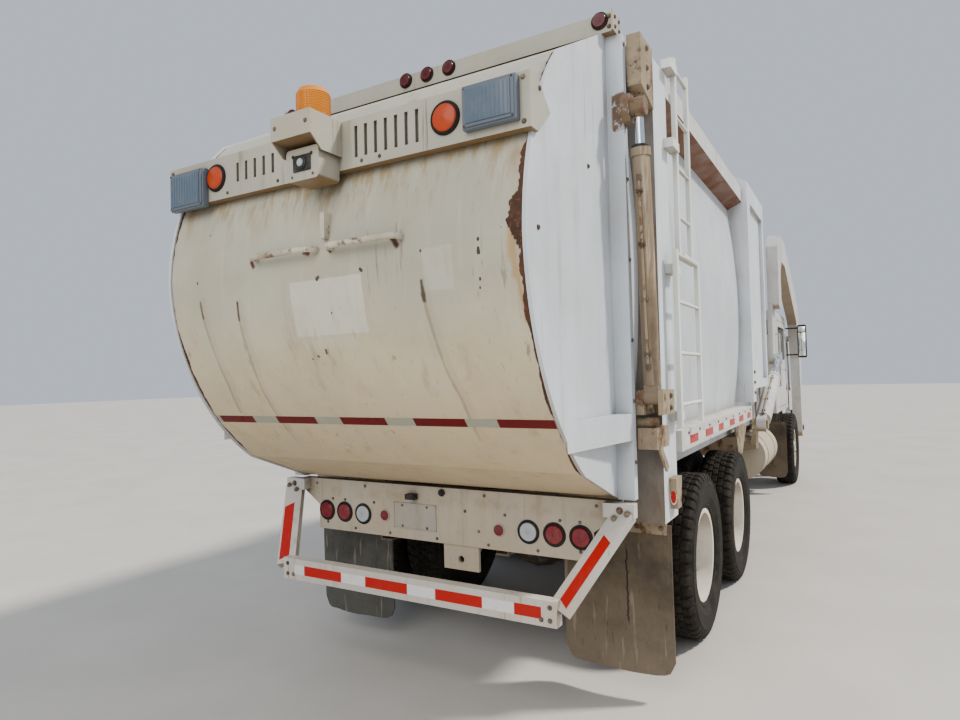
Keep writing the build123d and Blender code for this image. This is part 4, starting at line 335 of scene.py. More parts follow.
def seam_rust(g):
    """Rust beside the tailgate's welded seams, wide between two heights on the right."""
    low, high = SEAM_WIDE
    away = g.minus(SEAM_Y, g.size_of(g.y))
    ragged = g.noise(11.0, 7.0, 0.7)
    right = g.fade(g.y, 0.05, -0.05)
    width = g.times(g.window(g.z, (low, low + 0.16), (high, high - 0.12)), right, 0.010)
    thin = g.plus(0.003, g.times(g.blots(0.40, 0.62, 3.1, 4.0, 0.6, shift=(2, 5, 5)), 0.016))
    reach = g.times(g.plus(width, thin), g.blend(ragged, 0.35, 1.75))
    rusted = g.most(g.fade(g.minus(reach, away), -0.001, 0.003), strokes(g, RUST_SPOTS))
    return g.most(rusted, g.fade(strokes(g, RUST_BULGES), 0.40, 0.52))


def skin_marks_light_and_shade(g):
    """The tailgate's marks: lighter, warmer tan low down, partly dust and partly painted bounce light;
    repaired patches; creases painted as lines of shade with a painted shadow beside them; washed runs.
    """
    # Lighter, warmer tan low down: partly dust, partly painted bounce light from the ground
    low = g.fade(g.plus(g.z, g.blend(g.noise(2.4, 6.0, 0.66), -0.35, 0.35)), 2.35, 1.25)
    g.paint((0.76, 0.615, 0.365), low, 0.78)
    drip = g.noise(17.0, 5.0, 0.62, stretch=(1, 1, 0.08), shift=(4, 7, 7))
    drip = g.times(g.fade(drip, 0.46, 0.62), g.fade(g.plus(g.z, g.times(drip, 0.25)), 2.52, 2.80))
    g.paint((0.33, 0.235, 0.115), drip, g.fade(g.z, 2.82, 2.74), 0.75)
    g.paint((0.43, 0.270, 0.105), strokes(g, SCRAPES), 0.80)
    g.paint((0.50, 0.50, 0.48), g.fade(g.z, 2.6, 3.3), 0.35)
    washed = g.blots(0.56, 0.70, 16.0, 4.0, 0.6, stretch=(1, 1, 0.05), shift=(3, 3, 8))
    g.paint((0.58, 0.55, 0.44), washed, 0.30)
    g.paint((0.610, 0.600, 0.510), patch(g, (-0.258, 0.182), (1.942, 2.202), 0.008), 0.85)
    g.paint(REPAINT, patch(g, (-0.200, 0.170), (1.870, 1.945), 0.030), 0.25)
    g.paint((0.555, 0.550, 0.480), patch(g, (-0.734, -0.580), (2.090, 2.275), 0.010), 0.40)
    # Painted shade at the creases: a wide soft shadow beside each, a dark line along it, darkest on its
    # first run
    g.paint((0.25, 0.190, 0.125), strokes(g, crease_runs(0.034, shift=0.020)), 0.16)
    g.paint((0.20, 0.150, 0.100), strokes(g, crease_runs(0.012)), 0.48)
    g.paint((0.050, 0.035, 0.026), strokes(g, crease_runs(0.014, points=2)), 0.90)
    # Small dark spots
    g.paint((0.060, 0.047, 0.036), g.fade(strokes(g, DARK_SPOTS), 0.25, 0.55))


def panel_marks(g):
    """Dark runs under the panel's bolts and lamps."""
    run = g.blots(0.52, 0.70, 19.0, 6.0, 0.66, stretch=(1, 1, 0.30), shift=(7, 2, 2))
    g.paint((0.26, 0.200, 0.135), run, 0.38)
    fold = g.fade(g.size_of(g.minus(g.z, PANEL_FOLD_Z)), 0.050, 0.005)
    g.paint((0.30, 0.225, 0.130), fold, g.blots(0.42, 0.62, 6.0, 7.0, 0.7, shift=(3, 8, 1)), 0.55)
    g.paint((0.05, 0.024, 0.016), strokes(g, TOW_BOLT_RUST))


def post_dirt_and_shade(g):
    """Dark dirt and painted shade on the faces of the posts that face the tailgate."""
    back = g.times(g.fade(g.facing()[0], -0.5, -0.8), g.fade(g.x, -3.2, -3.5))
    g.paint((0.105, 0.075, 0.048), back, g.blend(g.noise(4.0, 8.0, 0.7, stretch=(1, 1, 0.35)), 0.45, 1.25))


def barrel_dirt_and_shade(g):
    """Long brown runs down the tailgate rams, and their lower ends darker, partly dirt and partly painted
    shade.
    """
    run = g.blots(0.44, 0.58, 21.0, 5.0, 0.65, stretch=(1, 1, 0.05), shift=(1, 1, 6))
    g.paint((0.185, 0.110, 0.055), run, 0.75)
    # The lower ends darker: partly dirt, partly painted shade
    g.paint((0.085, 0.062, 0.044), g.fade(g.z, 2.35, 1.85), g.blend(g.noise(6.0, 7.0, 0.7), 0.3, 1.0))


def ear_marks(g):
    """Rust on the ears that carry the rams' upper pins."""
    out = g.fade(g.size_of(g.y), 1.085, 1.095)
    near = g.window(g.z, (2.84, 3.00), (3.20, 3.10))
    level = g.plus(g.times(g.noise(13.0, 7.0, 0.7), 0.9), g.times(near, 0.5))
    g.paint((0.135, 0.075, 0.042), out, g.fade(level, 0.84, 0.92))


def rusty_paint(name, base, amount):
    """Paint that has mostly given way to rust, with painted shade in its crevices."""
    g = Graph(name)
    worn = g.most(g.blots(0.62 - 0.3 * amount, 0.70 - 0.3 * amount, 7.0, 8.0, 0.7),
                  g.blots(0.60, 0.66, 30.0, 6.0, 0.7, stretch=(1, 1, 0.25)))
    g.color = g.mix(g.blots(0.35, 0.75, 4.0, 6.0, 0.6, shift=(2, 2, 2)), base, [c * 0.62 for c in base])
    g.paint(rust_color(g), worn, 0.85)
    g.paint(DUST, g.blots(0.42, 0.70, 11.0, 7.0, 0.7, shift=(6, 3, 1)), 0.45)
    # Painted shade: crevices darkened by ambient occlusion
    g.paint(GRIME_AND_SHADE, g.fade(g.crevice(0.10), 0.3, 0.9), 0.6)
    grain = g.bump(g.noise(120.0, 5.0, 0.6), 0.0012, 0.6)
    g.finish(g.blend(worn, 0.6, 0.92), g.bump(worn, 0.0015, 0.7, grain), 0.15)


def tyre_rubber():
    g = Graph("tyre_rubber", (0.010, 0.009, 0.008))
    dusty = g.blots(0.38, 0.75, 8.0, 8.0, 0.7)
    g.paint((0.085, 0.071, 0.053), dusty, 0.50)
    g.paint((0.20, 0.165, 0.125), g.blots(0.60, 0.72, 60.0, 5.0, 0.65), 0.30)
    g.paint((0.13, 0.105, 0.08), g.fade(g.crevice(0.03), 0.35, 0.9), 0.6)
    g.finish(g.blend(dusty, 0.62, 0.92), g.bump(g.noise(180.0, 4.0, 0.6), 0.0012, 0.6), 0.12)


# Where the right flap's crack runs down
FLAP_CRACK_Y = -0.985


def flap_rubber():
    """Reinforced rubber sheet, dusted from below, scratched in long strokes and cracked."""
    g = Graph("flap_rubber")
    cloudy = g.blots(0.28, 0.74, 2.6, 9.0, 0.72)
    left = g.fade(g.y, -0.2, 0.2)
    brown, grey = (g.mix(cloudy, dark, pale) for dark, pale in (
        ((0.062, 0.050, 0.039), (0.165, 0.128, 0.088)), ((0.050, 0.050, 0.044), (0.112, 0.110, 0.096))))
    g.color = g.mix(left, brown, grey)
    low = g.times(g.fade(g.z, 0.70, 0.15), g.blend(g.noise(6.0, 8.0, 0.7), 0.4, 1.2))
    g.paint(g.mix(left, (0.24, 0.19, 0.13), (0.125, 0.120, 0.105)), low, 0.5)
    g.paint((0.30, 0.25, 0.185), g.blots(0.60, 0.68, 26.0, 3.0, 0.6, stretch=(1, 1, 0.10)), 0.50)
    fine = g.blots(0.62, 0.70, 90.0, 3.0, 0.6, stretch=(1, 0.5, 0.12), shift=(6, 1, 1))
    g.paint((0.035, 0.030, 0.026), fine, 0.45)
    wander = g.blend(g.noise(9.0, 6.0, 0.7, stretch=(0, 0, 1)), -0.035, 0.035)
    crack = g.size_of(g.plus(g.minus(g.y, FLAP_CRACK_Y), wander))
    crack = g.times(g.fade(crack, 0.0070, 0.0025), g.window(g.z, (0.82, 0.76), (0.36, 0.42)))
    g.paint((0.018, 0.015, 0.012), crack, 0.85)
    grain = g.bump(g.noise(140.0, 4.0, 0.6), 0.0015, 0.5)
    g.finish(0.86, g.bump(g.noise(3.4, 2.0, 0.4, stretch=(1, 1, 0.5)), 0.030, 0.6, grain), 0.12)


def bare_metal(name, base, dirt, rough, eye_from=None):
    """Plated or polished metal. Above eye_from it is a rusty eye instead."""
    g = Graph(name, base)
    smear = g.blots(0.40, 0.75, 14.0, 6.0, 0.65)
    g.paint(GRIME_AND_SHADE, smear, dirt)
    rough = g.blend(smear, rough, min(1.0, rough + 0.35))
    metallic = 1.0
    if eye_from is not None:
        eye = g.fade(g.z, eye_from, eye_from + 0.004)
        g.paint(g.mix(g.blots(0.40, 0.66, 22.0, 6.0, 0.7), (0.17, 0.115, 0.068), rust_color(g)), eye)
        rough = g.blend(eye, rough, 0.85)
        metallic = g.minus(1.0, eye)
    lines = g.bump(g.noise(220.0, 2.0, 0.5, stretch=(1, 1, 0.05)), 0.0003, 0.4)
    g.finish(rough, lines, metallic=metallic)


def lens(name, deep, bright, rough=0.16, film_share=0.30, coat=0.4):
    """Moulded lamp lens with fine ribs and a dust film."""
    g = Graph(name, deep)
    rings = g.add("TexWave", {"Vector": g.place, "Scale": 55.0, "Distortion": 0.4}).outputs["Fac"]
    film = g.blots(0.42, 0.80, 16.0, 6.0, 0.6)
    g.paint(bright, rings, 0.5)
    g.paint(DUST, film, film_share)
    g.finish(g.blend(film, rough, 0.55), g.bump(rings, 0.0012, 0.5), 0.3, coat_weight=coat)


def tape(name, base, worn_to=DUST, grimy=0.35):
    """Reflective tape with its fine cell pattern, scuffed and dusty."""
    g = Graph(name, base)
    cell = g.cells(240.0)
    wear = g.blots(0.50, 0.72, 15.0, 8.0, 0.7)
    g.paint([min(1.0, c * 1.35) for c in base], g.fade(cell, 0.2, 0.7), 0.25)
    g.paint(worn_to, wear, grimy)
    g.finish(g.blend(wear, 0.34, 0.8), g.bump(cell, 0.0003, 0.4), 0.2)


def tinted_glass():
    g = Graph("tinted_glass", (0.035, 0.085, 0.080))
    film = g.blots(0.40, 0.85, 5.0, 6.0, 0.6)
    g.paint((0.16, 0.15, 0.12), film, 0.35)
    g.finish(g.blend(film, 0.05, 0.28), g.bump(film, 0.0004, 0.3), alpha=0.82, coat_weight=0.6)


def dull_plastic(name, base, rough=0.6, dusty_share=0.45):
    g = Graph(name, base)
    dusty = g.blots(0.42, 0.80, 9.0, 7.0, 0.66)
    g.paint((0.26, 0.21, 0.16), dusty, dusty_share)
    g.finish(g.blend(dusty, rough, 0.9), g.bump(g.noise(300.0, 2.0, 0.5), 0.0005, 0.5), 0.25)


def seat_fabric():
    g = Graph("seat_fabric")
    weave = g.add("TexMagic", {"Vector": g.place, "Scale": 260.0}, turbulence_depth=2).outputs["Fac"]
    g.color = g.mix(weave, (0.055, 0.057, 0.062), (0.105, 0.105, 0.110))
    g.paint((0.24, 0.21, 0.18), g.blots(0.40, 0.75, 6.0, 5.0, 0.6), 0.35)
    g.finish(0.93, g.bump(weave, 0.0008, 0.6))


def ground():
    g = Graph("pale_floor")
    g.color = g.mix(g.blots(0.3, 0.7, 0.9, 5.0, 0.6), (0.50, 0.475, 0.44), (0.55, 0.525, 0.485))
    g.finish(0.9, g.bump(g.noise(55.0, 4.0, 0.6), 0.002, 0.4))


def make_materials():
    """Each paint's colour, dirt (which also sets the painted shade in corners), streaks, height and share of
    dust, and chips, then the other finishes. under and inner darken faces that point down or inward, partly
    stain and partly painted shade.
    """
    # Colours of the rails' and bars' downward faces: rust and painted shade
    rail_rust_and_shade, bar_rust_and_shade = (0.130, 0.046, 0.018), (0.20, 0.125, 0.060)
    weathered("side_white", (0.63, 0.675, 0.72), 0.20, 0.30, 1.5, 0.50, 0.35, under=0.85)
    weathered("post_white", (0.74, 0.79, 0.84), 0.22, 0.35, 1.5, 0.40, 0.7, extra=post_dirt_and_shade)
    weathered("rail_white", (0.68, 0.69, 0.67), 0.35, 0.45, 1.5, 0.5, 0.9, under=1.0, under_color=rail_rust_and_shade,
              inner=0.5)
    weathered("white_paint", WHITE, 0.40, 0.50, 1.5, 0.6, 0.6)
    weathered("arm_white", WHITE, 0.40, 0.55, 1.6, 0.55, 0.9, under=0.9, inner=0.9)
    weathered("shelf_paint", (0.68, 0.67, 0.62), 0.45, 0.50, 1.6, 0.45, 0.9, under=0.9)
    weathered("skin_cream", (0.470, 0.455, 0.362), 0.28, 0.42, 1.95, 0.10, 0.8, seam_rust, extra=skin_marks_light_and_shade,
              under=0.30)
    weathered("gate_side_white", (0.62, 0.675, 0.725), 0.20, 0.28, 1.6, 0.35, 0.35, extra=ear_marks)
    weathered("panel_cream", (0.50, 0.455, 0.375), 0.60, 0.65, 1.6, 0.60, 0.9, extra=panel_marks)
    weathered("bar_cream", (0.43, 0.42, 0.35), 0.42, 0.55, 1.6, 0.5, 0.8, under=1.0, under_color=bar_rust_and_shade)
    weathered("bumper_white", (0.60, 0.585, 0.55), 0.45, 0.55, 1.1, 0.50, 0.9)
    weathered("cream_paint", (0.58, 0.52, 0.415), 0.50, 0.55, 1.6, 0.55, 0.7)
    weathered("rim_cream", (0.88, 0.86, 0.78), 0.35, 0.20, 1.4, 0.25, 0.8, gloss=0.6)
    # The rams' inward halves are darkened, partly dirt and partly painted shade
    weathered("barrel_cream", (0.50, 0.43, 0.31), 0.70, 1.0, 1.6, 0.5, 1.0, inner=1.0, inner_from=0.45,
              extra=barrel_dirt_and_shade)
    weathered("ladder_white", (0.82, 0.85, 0.80), 0.25, 0.35, 1.6, 0.4, 0.8)
    weathered("frame_black", (0.030, 0.028, 0.026), 0.28, 0.2, 1.6, 0.30, 0.6, gloss=0.55, under=0.1)
    weathered("blank_plate", (0.40, 0.385, 0.345), 0.45, 1.0, 1.6, 0.25, 0.4)
    rusty_paint("rusty_steel", (0.34, 0.275, 0.195), 0.42)
    rusty_paint("rusty_cream", (0.335, 0.265, 0.175), 0.34)
    rusty_paint("handle_cream", (0.60, 0.56, 0.45), 0.22)
    rusty_paint("cast_iron", (0.075, 0.065, 0.055), 0.20)
    rusty_paint("bolt_steel", (0.11, 0.088, 0.068), 0.28)
    bare_metal("chrome_rod", (0.72, 0.74, 0.78), 0.18, 0.12)
    bare_metal("gate_rod", (0.66, 0.70, 0.76), 0.18, 0.14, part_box("gate_rods")[1].z - 0.105)
    bare_metal("mirror_glass", (0.80, 0.82, 0.84), 0.10, 0.04)
    lens("red_lens", (0.13, 0.003, 0.010), (0.25, 0.008, 0.022), 0.30, 0.16, 0.20)
    lens("deep_red_lens", (0.055, 0.002, 0.004), (0.14, 0.004, 0.008), 0.35, 0.06, 0.10)
    lens("amber_lens", (0.36, 0.030, 0.001), (0.50, 0.055, 0.001), 0.35, 0.04, 0.10)
    lens("beacon_lens", (0.60, 0.19, 0.004), (0.80, 0.29, 0.006), 0.30, 0.06, 0.15)
    lens("clear_lens", (0.30, 0.33, 0.36), (0.50, 0.54, 0.56))
    lens("smoky_lens", (0.050, 0.078, 0.115), (0.125, 0.170, 0.225), 0.30, 0.12, 0.15)
    tape("red_tape", (0.39, 0.006, 0.004), (0.26, 0.05, 0.03), 0.4)
    tape("white_tape", (0.62, 0.62, 0.60))
    tape("old_red_tape", (0.105, 0.003, 0.003), (0.09, 0.010, 0.008), 0.5)
    tape("old_white_tape", (0.29, 0.295, 0.235), (0.42, 0.36, 0.24), 0.8)
    dull_plastic("amber_base", (0.36, 0.10, 0.012), 0.45, 0.2)
    dull_plastic("lamp_grey", (0.110, 0.135, 0.170), 0.45, 0.15)
    dull_plastic("black_plastic", (0.018, 0.018, 0.019))
    dull_plastic("lamp_grommet", (0.010, 0.010, 0.010), 0.75, 0.15)
    dull_plastic("hose_rubber", (0.024, 0.023, 0.022), 0.5, 0.3)
    for make in (tyre_rubber, flap_rubber, tinted_glass, seat_fabric, ground):
        make()


# The finish of each node, by how its name starts
FINISHES = {
    "side_white": "body_shell", "post_white": "body_frames", "rail_white": "roof_rails",
    "shelf_paint": "wheel_shelves", "white_paint": "hopper cab_shell front_bumper door",
    "arm_white": "lift_arms arm_barrels fork_barrels", "ladder_white": "ladder",
    "panel_cream": "rear_panel", "bumper_white": "rear_bumper", "cream_paint": "tanks",
    "gate_side_white": "gate_sides", "skin_cream": "gate_skin",
    "bar_cream": "gate_header light_bar beacon_box", "handle_cream": "gate_handles",
    "barrel_cream": "gate_barrels", "rim_cream": "rim", "gate_rod": "gate_rods",
    "chrome_rod": "arm_rods fork_rods", "frame_black": "chassis_frame steps forks",
    "cast_iron": "axles engine knuckle", "rusty_steel": "packer_blade", "rusty_cream": "brackets",
    "red_lens": "truck_lamps gate_lamps", "amber_lens": "beacon", "flap_rubber": "mud_flaps",
    "tyre_rubber": "tyre", "tinted_glass": "cab_glass door_glass", "seat_fabric": "cab_interior",
    "black_plastic": "steering_wheel grille mirrors",
}


def finish_of(name):
    """The finish whose word starts a node's name, the longest word first."""
    starts = [(len(word), finish) for finish, words in FINISHES.items()
              for word in words.split() if name.startswith(word)]
    return max(starts)[1]


def dress_nodes():
    for name, obj in nodes.items():
        obj.data.materials.clear()
        obj.data.materials.append(materials[finish_of(name)])
        for polygon in obj.data.polygons:
            polygon.material_index = 0


# Building meshes

# How far back a look starts before the point it goes through
LOOK_FROM = 12.0
BEHIND = Vector((1, 0, 0))
FROM_FRONT = Vector((-1, 0, 0))
FROM_ABOVE = Vector((0, 0, -1))
SIDES = (-1, 1)


def from_side(side):
    """A look from the right (-1) or the left (1)."""
    return Vector((0, -side, 0))


def at(station, y, z):
    """A point from its distance ahead of the rear light panel."""
    return Vector((PANEL_X + station, y, z))


def middle_of(node):
    low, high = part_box(node)
    return (low + high) / 2


def body_of(node):
    return next(body for body, held in frame["record"]["behaviour"]["bodies"].items() if node in held)


def across(direction):
    """Two directions at right angles to one and to each other."""
    direction = Vector(direction).normalized()
    helper = Vector((0, 0, 1)) if abs(direction.z) < 0.9 else Vector((1, 0, 0))
    first = direction.cross(helper).normalized()
    return first, direction.cross(first)


def turns(count, ahead=0.0):
    """Angles of equal steps once round."""
    return [2 * math.pi * (k + ahead) / count for k in range(count)]


def ring(centre, radius, sides, first, second):
    return [centre + radius * (math.cos(turn) * first + math.sin(turn) * second) for turn in turns(sides)]


def place_in_scene(name, data):
    obj = bpy.data.objects.new(name, data)
    bpy.context.scene.collection.objects.link(obj)
    return obj


class Shape:
    """Faces of one piece, gathered in metres."""

    def __init__(self, mesh=None):
        self.mesh = bmesh.new() if mesh is None else mesh

    def faces(self, points, loops, slot=0):
        corners = [self.mesh.verts.new(point) for point in points]
        for loop in loops:
            self.mesh.faces.new([corners[i] for i in loop]).material_index = slot

    def rings(self, rings, slot=0, looped=False):
        """Skin over rings of equally many points, capped at both ends or joined end to end."""
        count = len(rings[0])
        total = count * len(rings)
        loops = []
        for start in range(0, total if looped else total - count, count):
            for i in range(count):
                a, b = start + i, start + (i + 1) % count
                loops.append((a, b, (b + count) % total, (a + count) % total))
        if not looped:
            loops += [tuple(reversed(range(count))), tuple(range(total - count, total))]
        self.faces([point for ring in rings for point in ring], loops, slot)

    def turned(self, profile, centre, direction, sides=28, slot=0):
        """A solid of rings (radius, distance along direction)."""
        direction = Vector(direction).normalized()
        self.rings([ring(Vector(centre) + along * direction, radius, sides, *across(direction))
                    for radius, along in profile], slot)

    def hoop(self, section, centre, direction, sides=64, slot=0):
        """A closed section of (radius, distance along direction) points, swept once round."""
        direction = Vector(direction).normalized()
        first, second = across(direction)
        outs = [math.cos(turn) * first + math.sin(turn) * second for turn in turns(sides)]
        self.rings([[Vector(centre) + radius * out + along * direction for radius, along in section]
                    for out in outs], slot, looped=True)

    def tube(self, points, radius, sides=8, slot=0):
        """A round bar through points, mitred at each."""
        points = [Vector(point) for point in points]
        ends = zip(points[:1] + points, points[1:] + points[-1:])
        runs = [(after - before).normalized() for before, after in ends]
        first = across(runs[0])[0]
        skins = []
        for point, run in zip(points, runs):
            first = (first - first.dot(run) * run).normalized()
            skins.append(ring(point, radius, sides, first, run.cross(first)))
        self.rings(skins, slot)

    def block(self, low, high, bevel, slot=0):
        """A box with rounded edges between two corners."""
        low, high = Vector(low), Vector(high)
        place = Matrix.Translation((low + high) / 2) @ Matrix.Diagonal((*(high - low), 1.0))
        box = bmesh.new()
        bmesh.ops.create_cube(box, size=1.0, matrix=place)
        bmesh.ops.bevel(box, geom=box.edges[:], offset=bevel, segments=2, profile=0.7, affect="EDGES")
        # The bevel leaves its corners in an order that differs from run to run
        corners = sorted(box.verts, key=lambda vert: tuple(round(c, 6) for c in vert.co))
        number = {vert: i for i, vert in enumerate(corners)}
        loops = [[number[vert] for vert in face.verts] for face in box.faces]
        starts = [loop.index(min(loop)) for loop in loops]
        loops = sorted(loop[start:] + loop[:start] for loop, start in zip(loops, starts))
        self.faces([vert.co.copy() for vert in corners], loops, slot)
        box.free()

    def box_at(self, middle, below, above, bevel, slot=0):
        """A block from its reach below and above a point."""
        self.block(middle - Vector(below), middle + Vector(above), bevel, slot)

    def prism(self, outline, run, slot=0):
        """An outline of points, pushed along a vector."""
        self.rings([outline, [point + Vector(run) for point in outline]], slot)

    def bolt(self, place, direction, size, slot=0):
        """A washer and a six-sided head with a chamfered crown."""
        direction = Vector(direction).normalized()
        base = 0.18 * size
        head = [(size, base), (size, 0.75 * size), (0.78 * size, 0.92 * size)]
        self.turned([(1.35 * size, 0), (1.35 * size, base)], place, direction, 14, slot)
        self.turned(head, place, direction, 6, slot)

    def studs(self, node, size, look, places, slot=0):
        """Bolts on the surface that shows at each place."""
        for place in places:
            hit = surface(node, place, look)
            if hit is not None:
                self.bolt(hit, -look, size, slot)

    def stud_rows(self, rows):
        """Bolts on both sides, by rows of node, size, whether seen from behind, and places."""
        for side in SIDES:
            for node, size, rear, places in rows:
                look = BEHIND if rear else from_side(side)
                points = [at(-1, side * a, z) if rear else at(a, side * 2, z) for a, z in places]
                self.studs(node, size, look, points)

    def piece(self, name, finishes, body, sharp=35.0, instead=None):
        """Finish the mesh as a scene object that rides on a body and may stand for a node."""
        bmesh.ops.recalc_face_normals(self.mesh, faces=self.mesh.faces)
        data = bpy.data.meshes.new(name)
        self.mesh.to_mesh(data)
        self.mesh.free()
        for finish in finishes.split():
            data.materials.append(materials[finish])
        for polygon in data.polygons:
            polygon.use_smooth = True
        data.set_sharp_from_angle(angle=math.radians(sharp))
        obj = place_in_scene(name, data)
        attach(obj, body)
        if instead:
            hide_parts(instead)
        return obj


surfaces = {}


def surface(node, point, look):
    """Where a look along a direction through a point first meets a CAD node."""
    if node not in surfaces:
        mesh = nodes[node].data
        corners = [vertex.co.copy() for vertex in mesh.vertices]
        surfaces[node] = BVHTree.FromPolygons(corners, [tuple(p.vertices) for p in mesh.polygons])
    return surfaces[node].ray_cast(Vector(point) - LOOK_FROM * look, look)[0]


TAPE_LIFT = 0.0008
TAPE_STEP = 0.09
TAPE_LOOPS = [(0, 1, 3, 2), (2, 3, 5, 4), (7, 6, 8, 9), (9, 8, 10, 11), (0, 6, 7, 1), (4, 5, 11, 10),
              (0, 2, 8, 6), (2, 4, 10, 8), (1, 7, 9, 3), (3, 9, 11, 5)]


def band(shape, node, start, end, width, reds, look):
    """Tape stuck on a node from start to end, red between pairs of distances along the run."""
    length = (end - start).length
    along = (end - start) / length
    side = look.cross(along).normalized() * width / 2
    cuts = sorted({0.0, length, *[cut for pair in reds for cut in pair]})
    for low, high in zip(cuts, cuts[1:]):
        parts = max(1, math.ceil((high - low) / TAPE_STEP))
        red = any(a <= (low + high) / 2 <= b for a, b in reds)
        for k in range(parts):
            ends = [low + (high - low) * (k + n) / parts for n in (0, 1)]
            rows = [surface(node, start + along * distance + side * share, look)
                    for share in (-1.0, 0.0, 1.0) for distance in ends]
            if None not in rows:
                points = [p + look * lift for lift in (-TAPE_LIFT, TAPE_LIFT) for p in rows]
                shape.faces(points, TAPE_LOOPS, int(red))


# Wheels

tyre_low, tyre_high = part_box("tyre_front_left")
TYRE_RADIUS = (tyre_high.z - tyre_low.z) / 2
TYRE_WIDTH = tyre_high.y - tyre_low.y
TREAD_PITCHES = 48
TREAD_DEPTH = 0.017
TREAD_ROOT = TYRE_RADIUS - TREAD_DEPTH - 0.002
# Rows of tread blocks: middle of the row from the tyre's middle, half width, half length, offset in pitches
TREAD_ROWS = [(0.0, 0.0185, 0.41, 0.0), (0.0455, 0.0180, 0.40, 0.5), (-0.0455, 0.0180, 0.40, 0.5)]
SIDEWALL = [
    (0.2872, 0.086), (0.2895, 0.1035), (0.300, 0.1085), (0.314, 0.1150), (0.318, 0.1195), (0.326, 0.1195),
    (0.331, 0.1170), (0.352, 0.1275), (0.374, 0.1335), (0.378, 0.1352), (0.384, 0.1352), (0.388, 0.1345),
    (0.412, 0.1388), (0.430, 0.1396), (0.452, 0.1380), (0.456, 0.1394), (0.463, 0.1394), (0.467, 0.1362),
    (0.486, 0.1295), (0.500, 0.1240), (0.511, 0.1150), (0.5135, 0.100),
]
SHOULDER_LUG = [
    (TREAD_ROOT, 0.068), (TYRE_RADIUS - 0.001, 0.071), (TYRE_RADIUS, 0.075), (TYRE_RADIUS - 0.0015, 0.104),
    (TYRE_RADIUS - 0.006, 0.1125), (0.505, 0.1265), (0.488, 0.1325), (0.486, 0.124), (0.505, 0.108),
]
SHOULDER_RIB = [(0.470, 0.1345), (0.486, 0.1322), (0.486, 0.128), (0.470, 0.131)]


def tread_block(section, middle, half):
    """Rings of one block: its section at four turns, with the two ends eased down."""
    rings = []
    for turn, drop in ((-half, 0.0035), (-0.86 * half, 0.0), (0.86 * half, 0.0), (half, 0.0035)):
        angle = 2 * math.pi * (middle + turn) / TREAD_PITCHES
        radii = [(r - (drop if r > TYRE_RADIUS - TREAD_DEPTH else 0.0), y) for r, y in section]
        rings.append([Vector((r * math.cos(angle), y, r * math.sin(angle))) for r, y in radii])
    return rings


def tyre_form():
    """One tyre about the Y axis as points and faces."""
    shape = Shape()
    root, top = TREAD_ROOT, TYRE_RADIUS
    tread = [(root, 0.06), (root, 0.0), (root, -0.06)]
    shape.hoop(SIDEWALL + tread + [(r, -y) for r, y in reversed(SIDEWALL)], (0, 0, 0), (0, 1, 0), 96)
    for pitch in range(TREAD_PITCHES):
        for y, half_width, half_length, offset in TREAD_ROWS:
            section = [(root, y - half_width - 0.003), (top - 0.002, y - half_width),
                       (top, y - half_width + 0.003), (top, y + half_width - 0.003),
                       (top - 0.002, y + half_width), (root, y + half_width + 0.003)]
            shape.rings(tread_block(section, pitch + offset, half_length))
        for side in SIDES:
            for outline, offset, half in ((SHOULDER_LUG, 0.0, 0.36), (SHOULDER_RIB, 0.5, 0.10)):
                section = [(r, side * y) for r, y in outline]
                shape.rings(tread_block(section, pitch + 0.25 * side + offset, half))
    shape.mesh.verts.index_update()
    points = [vert.co.copy() for vert in shape.mesh.verts]
    loops = [[vert.index for vert in face.verts] for face in shape.mesh.faces]
    shape.mesh.free()
    return points, loops


def make_tyres():
    points, loops = tyre_form()
    for node in [name for name in nodes if name.startswith("tyre")]:
        low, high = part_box(node)
        middle = middle_of(node)
        shape = Shape()
        places = [low.y + TYRE_WIDTH / 2]
        twin = high.y - low.y > 1.5 * TYRE_WIDTH
        if twin:
            places.append(high.y - TYRE_WIDTH / 2)
        for number, y in enumerate(places):
            # Each tyre stands at another turn, so that no two show the same blocks
            turn = Matrix.Rotation(0.7 * number + 0.13 * middle.x, 3, "Y")
            shift = Vector((middle.x, y, middle.z))
            shape.faces([turn @ p + shift for p in points], loops)
        shape.piece(node + "_tread", "tyre_rubber", body_of(node), 28.0, node)


def disc_places(node, side, radii, radius, count, ahead):
    """Places round a wheel, as far out as its disc reaches between two radii."""
    middle = middle_of(node)
    best = 0.0
    for vertex in nodes[node].data.vertices:
        if radii[0] <= math.hypot(vertex.co.x - middle.x, vertex.co.z - middle.z) <= radii[1]:
            best = max(best, side * vertex.co.y)
    return [Vector((middle.x + radius * math.cos(turn), side * best, middle.z + radius * math.sin(turn)))
            for turn in turns(count, ahead)]


# Rings of fasteners on a wheel: radii between which its face is found, their circle, count and first step
NUT_RING = ((0.120, 0.160), 0.137, 10, 0.5)
HUB_RING = ((0.0, 0.078), 0.058, 8, 0.0)
# A wheel nut's washer, head and stud end, with their number of sides
NUT_PROFILES = [
    ([(0.019, -0.001), (0.019, 0.004), (0.0155, 0.004)], 14),
    ([(0.0160, 0.004), (0.0160, 0.020), (0.0125, 0.023)], 6),
    ([(0.0085, 0.022), (0.0085, 0.036), (0.0065, 0.038)], 10),
]


def make_wheel_nuts():
    for node in [name for name in nodes if name.startswith("rim")]:
        side = 1 if node.endswith("left") else -1
        shape = Shape()
        for place in disc_places(node, side, *NUT_RING):
            for profile, sides in NUT_PROFILES:
                shape.turned(profile, place, (0, side, 0), sides)
        for place in disc_places(node, side, *HUB_RING):
            shape.bolt(place, (0, side, 0), 0.007)
        shape.piece(node + "_nuts", "cast_iron", body_of(node))


# Lamps

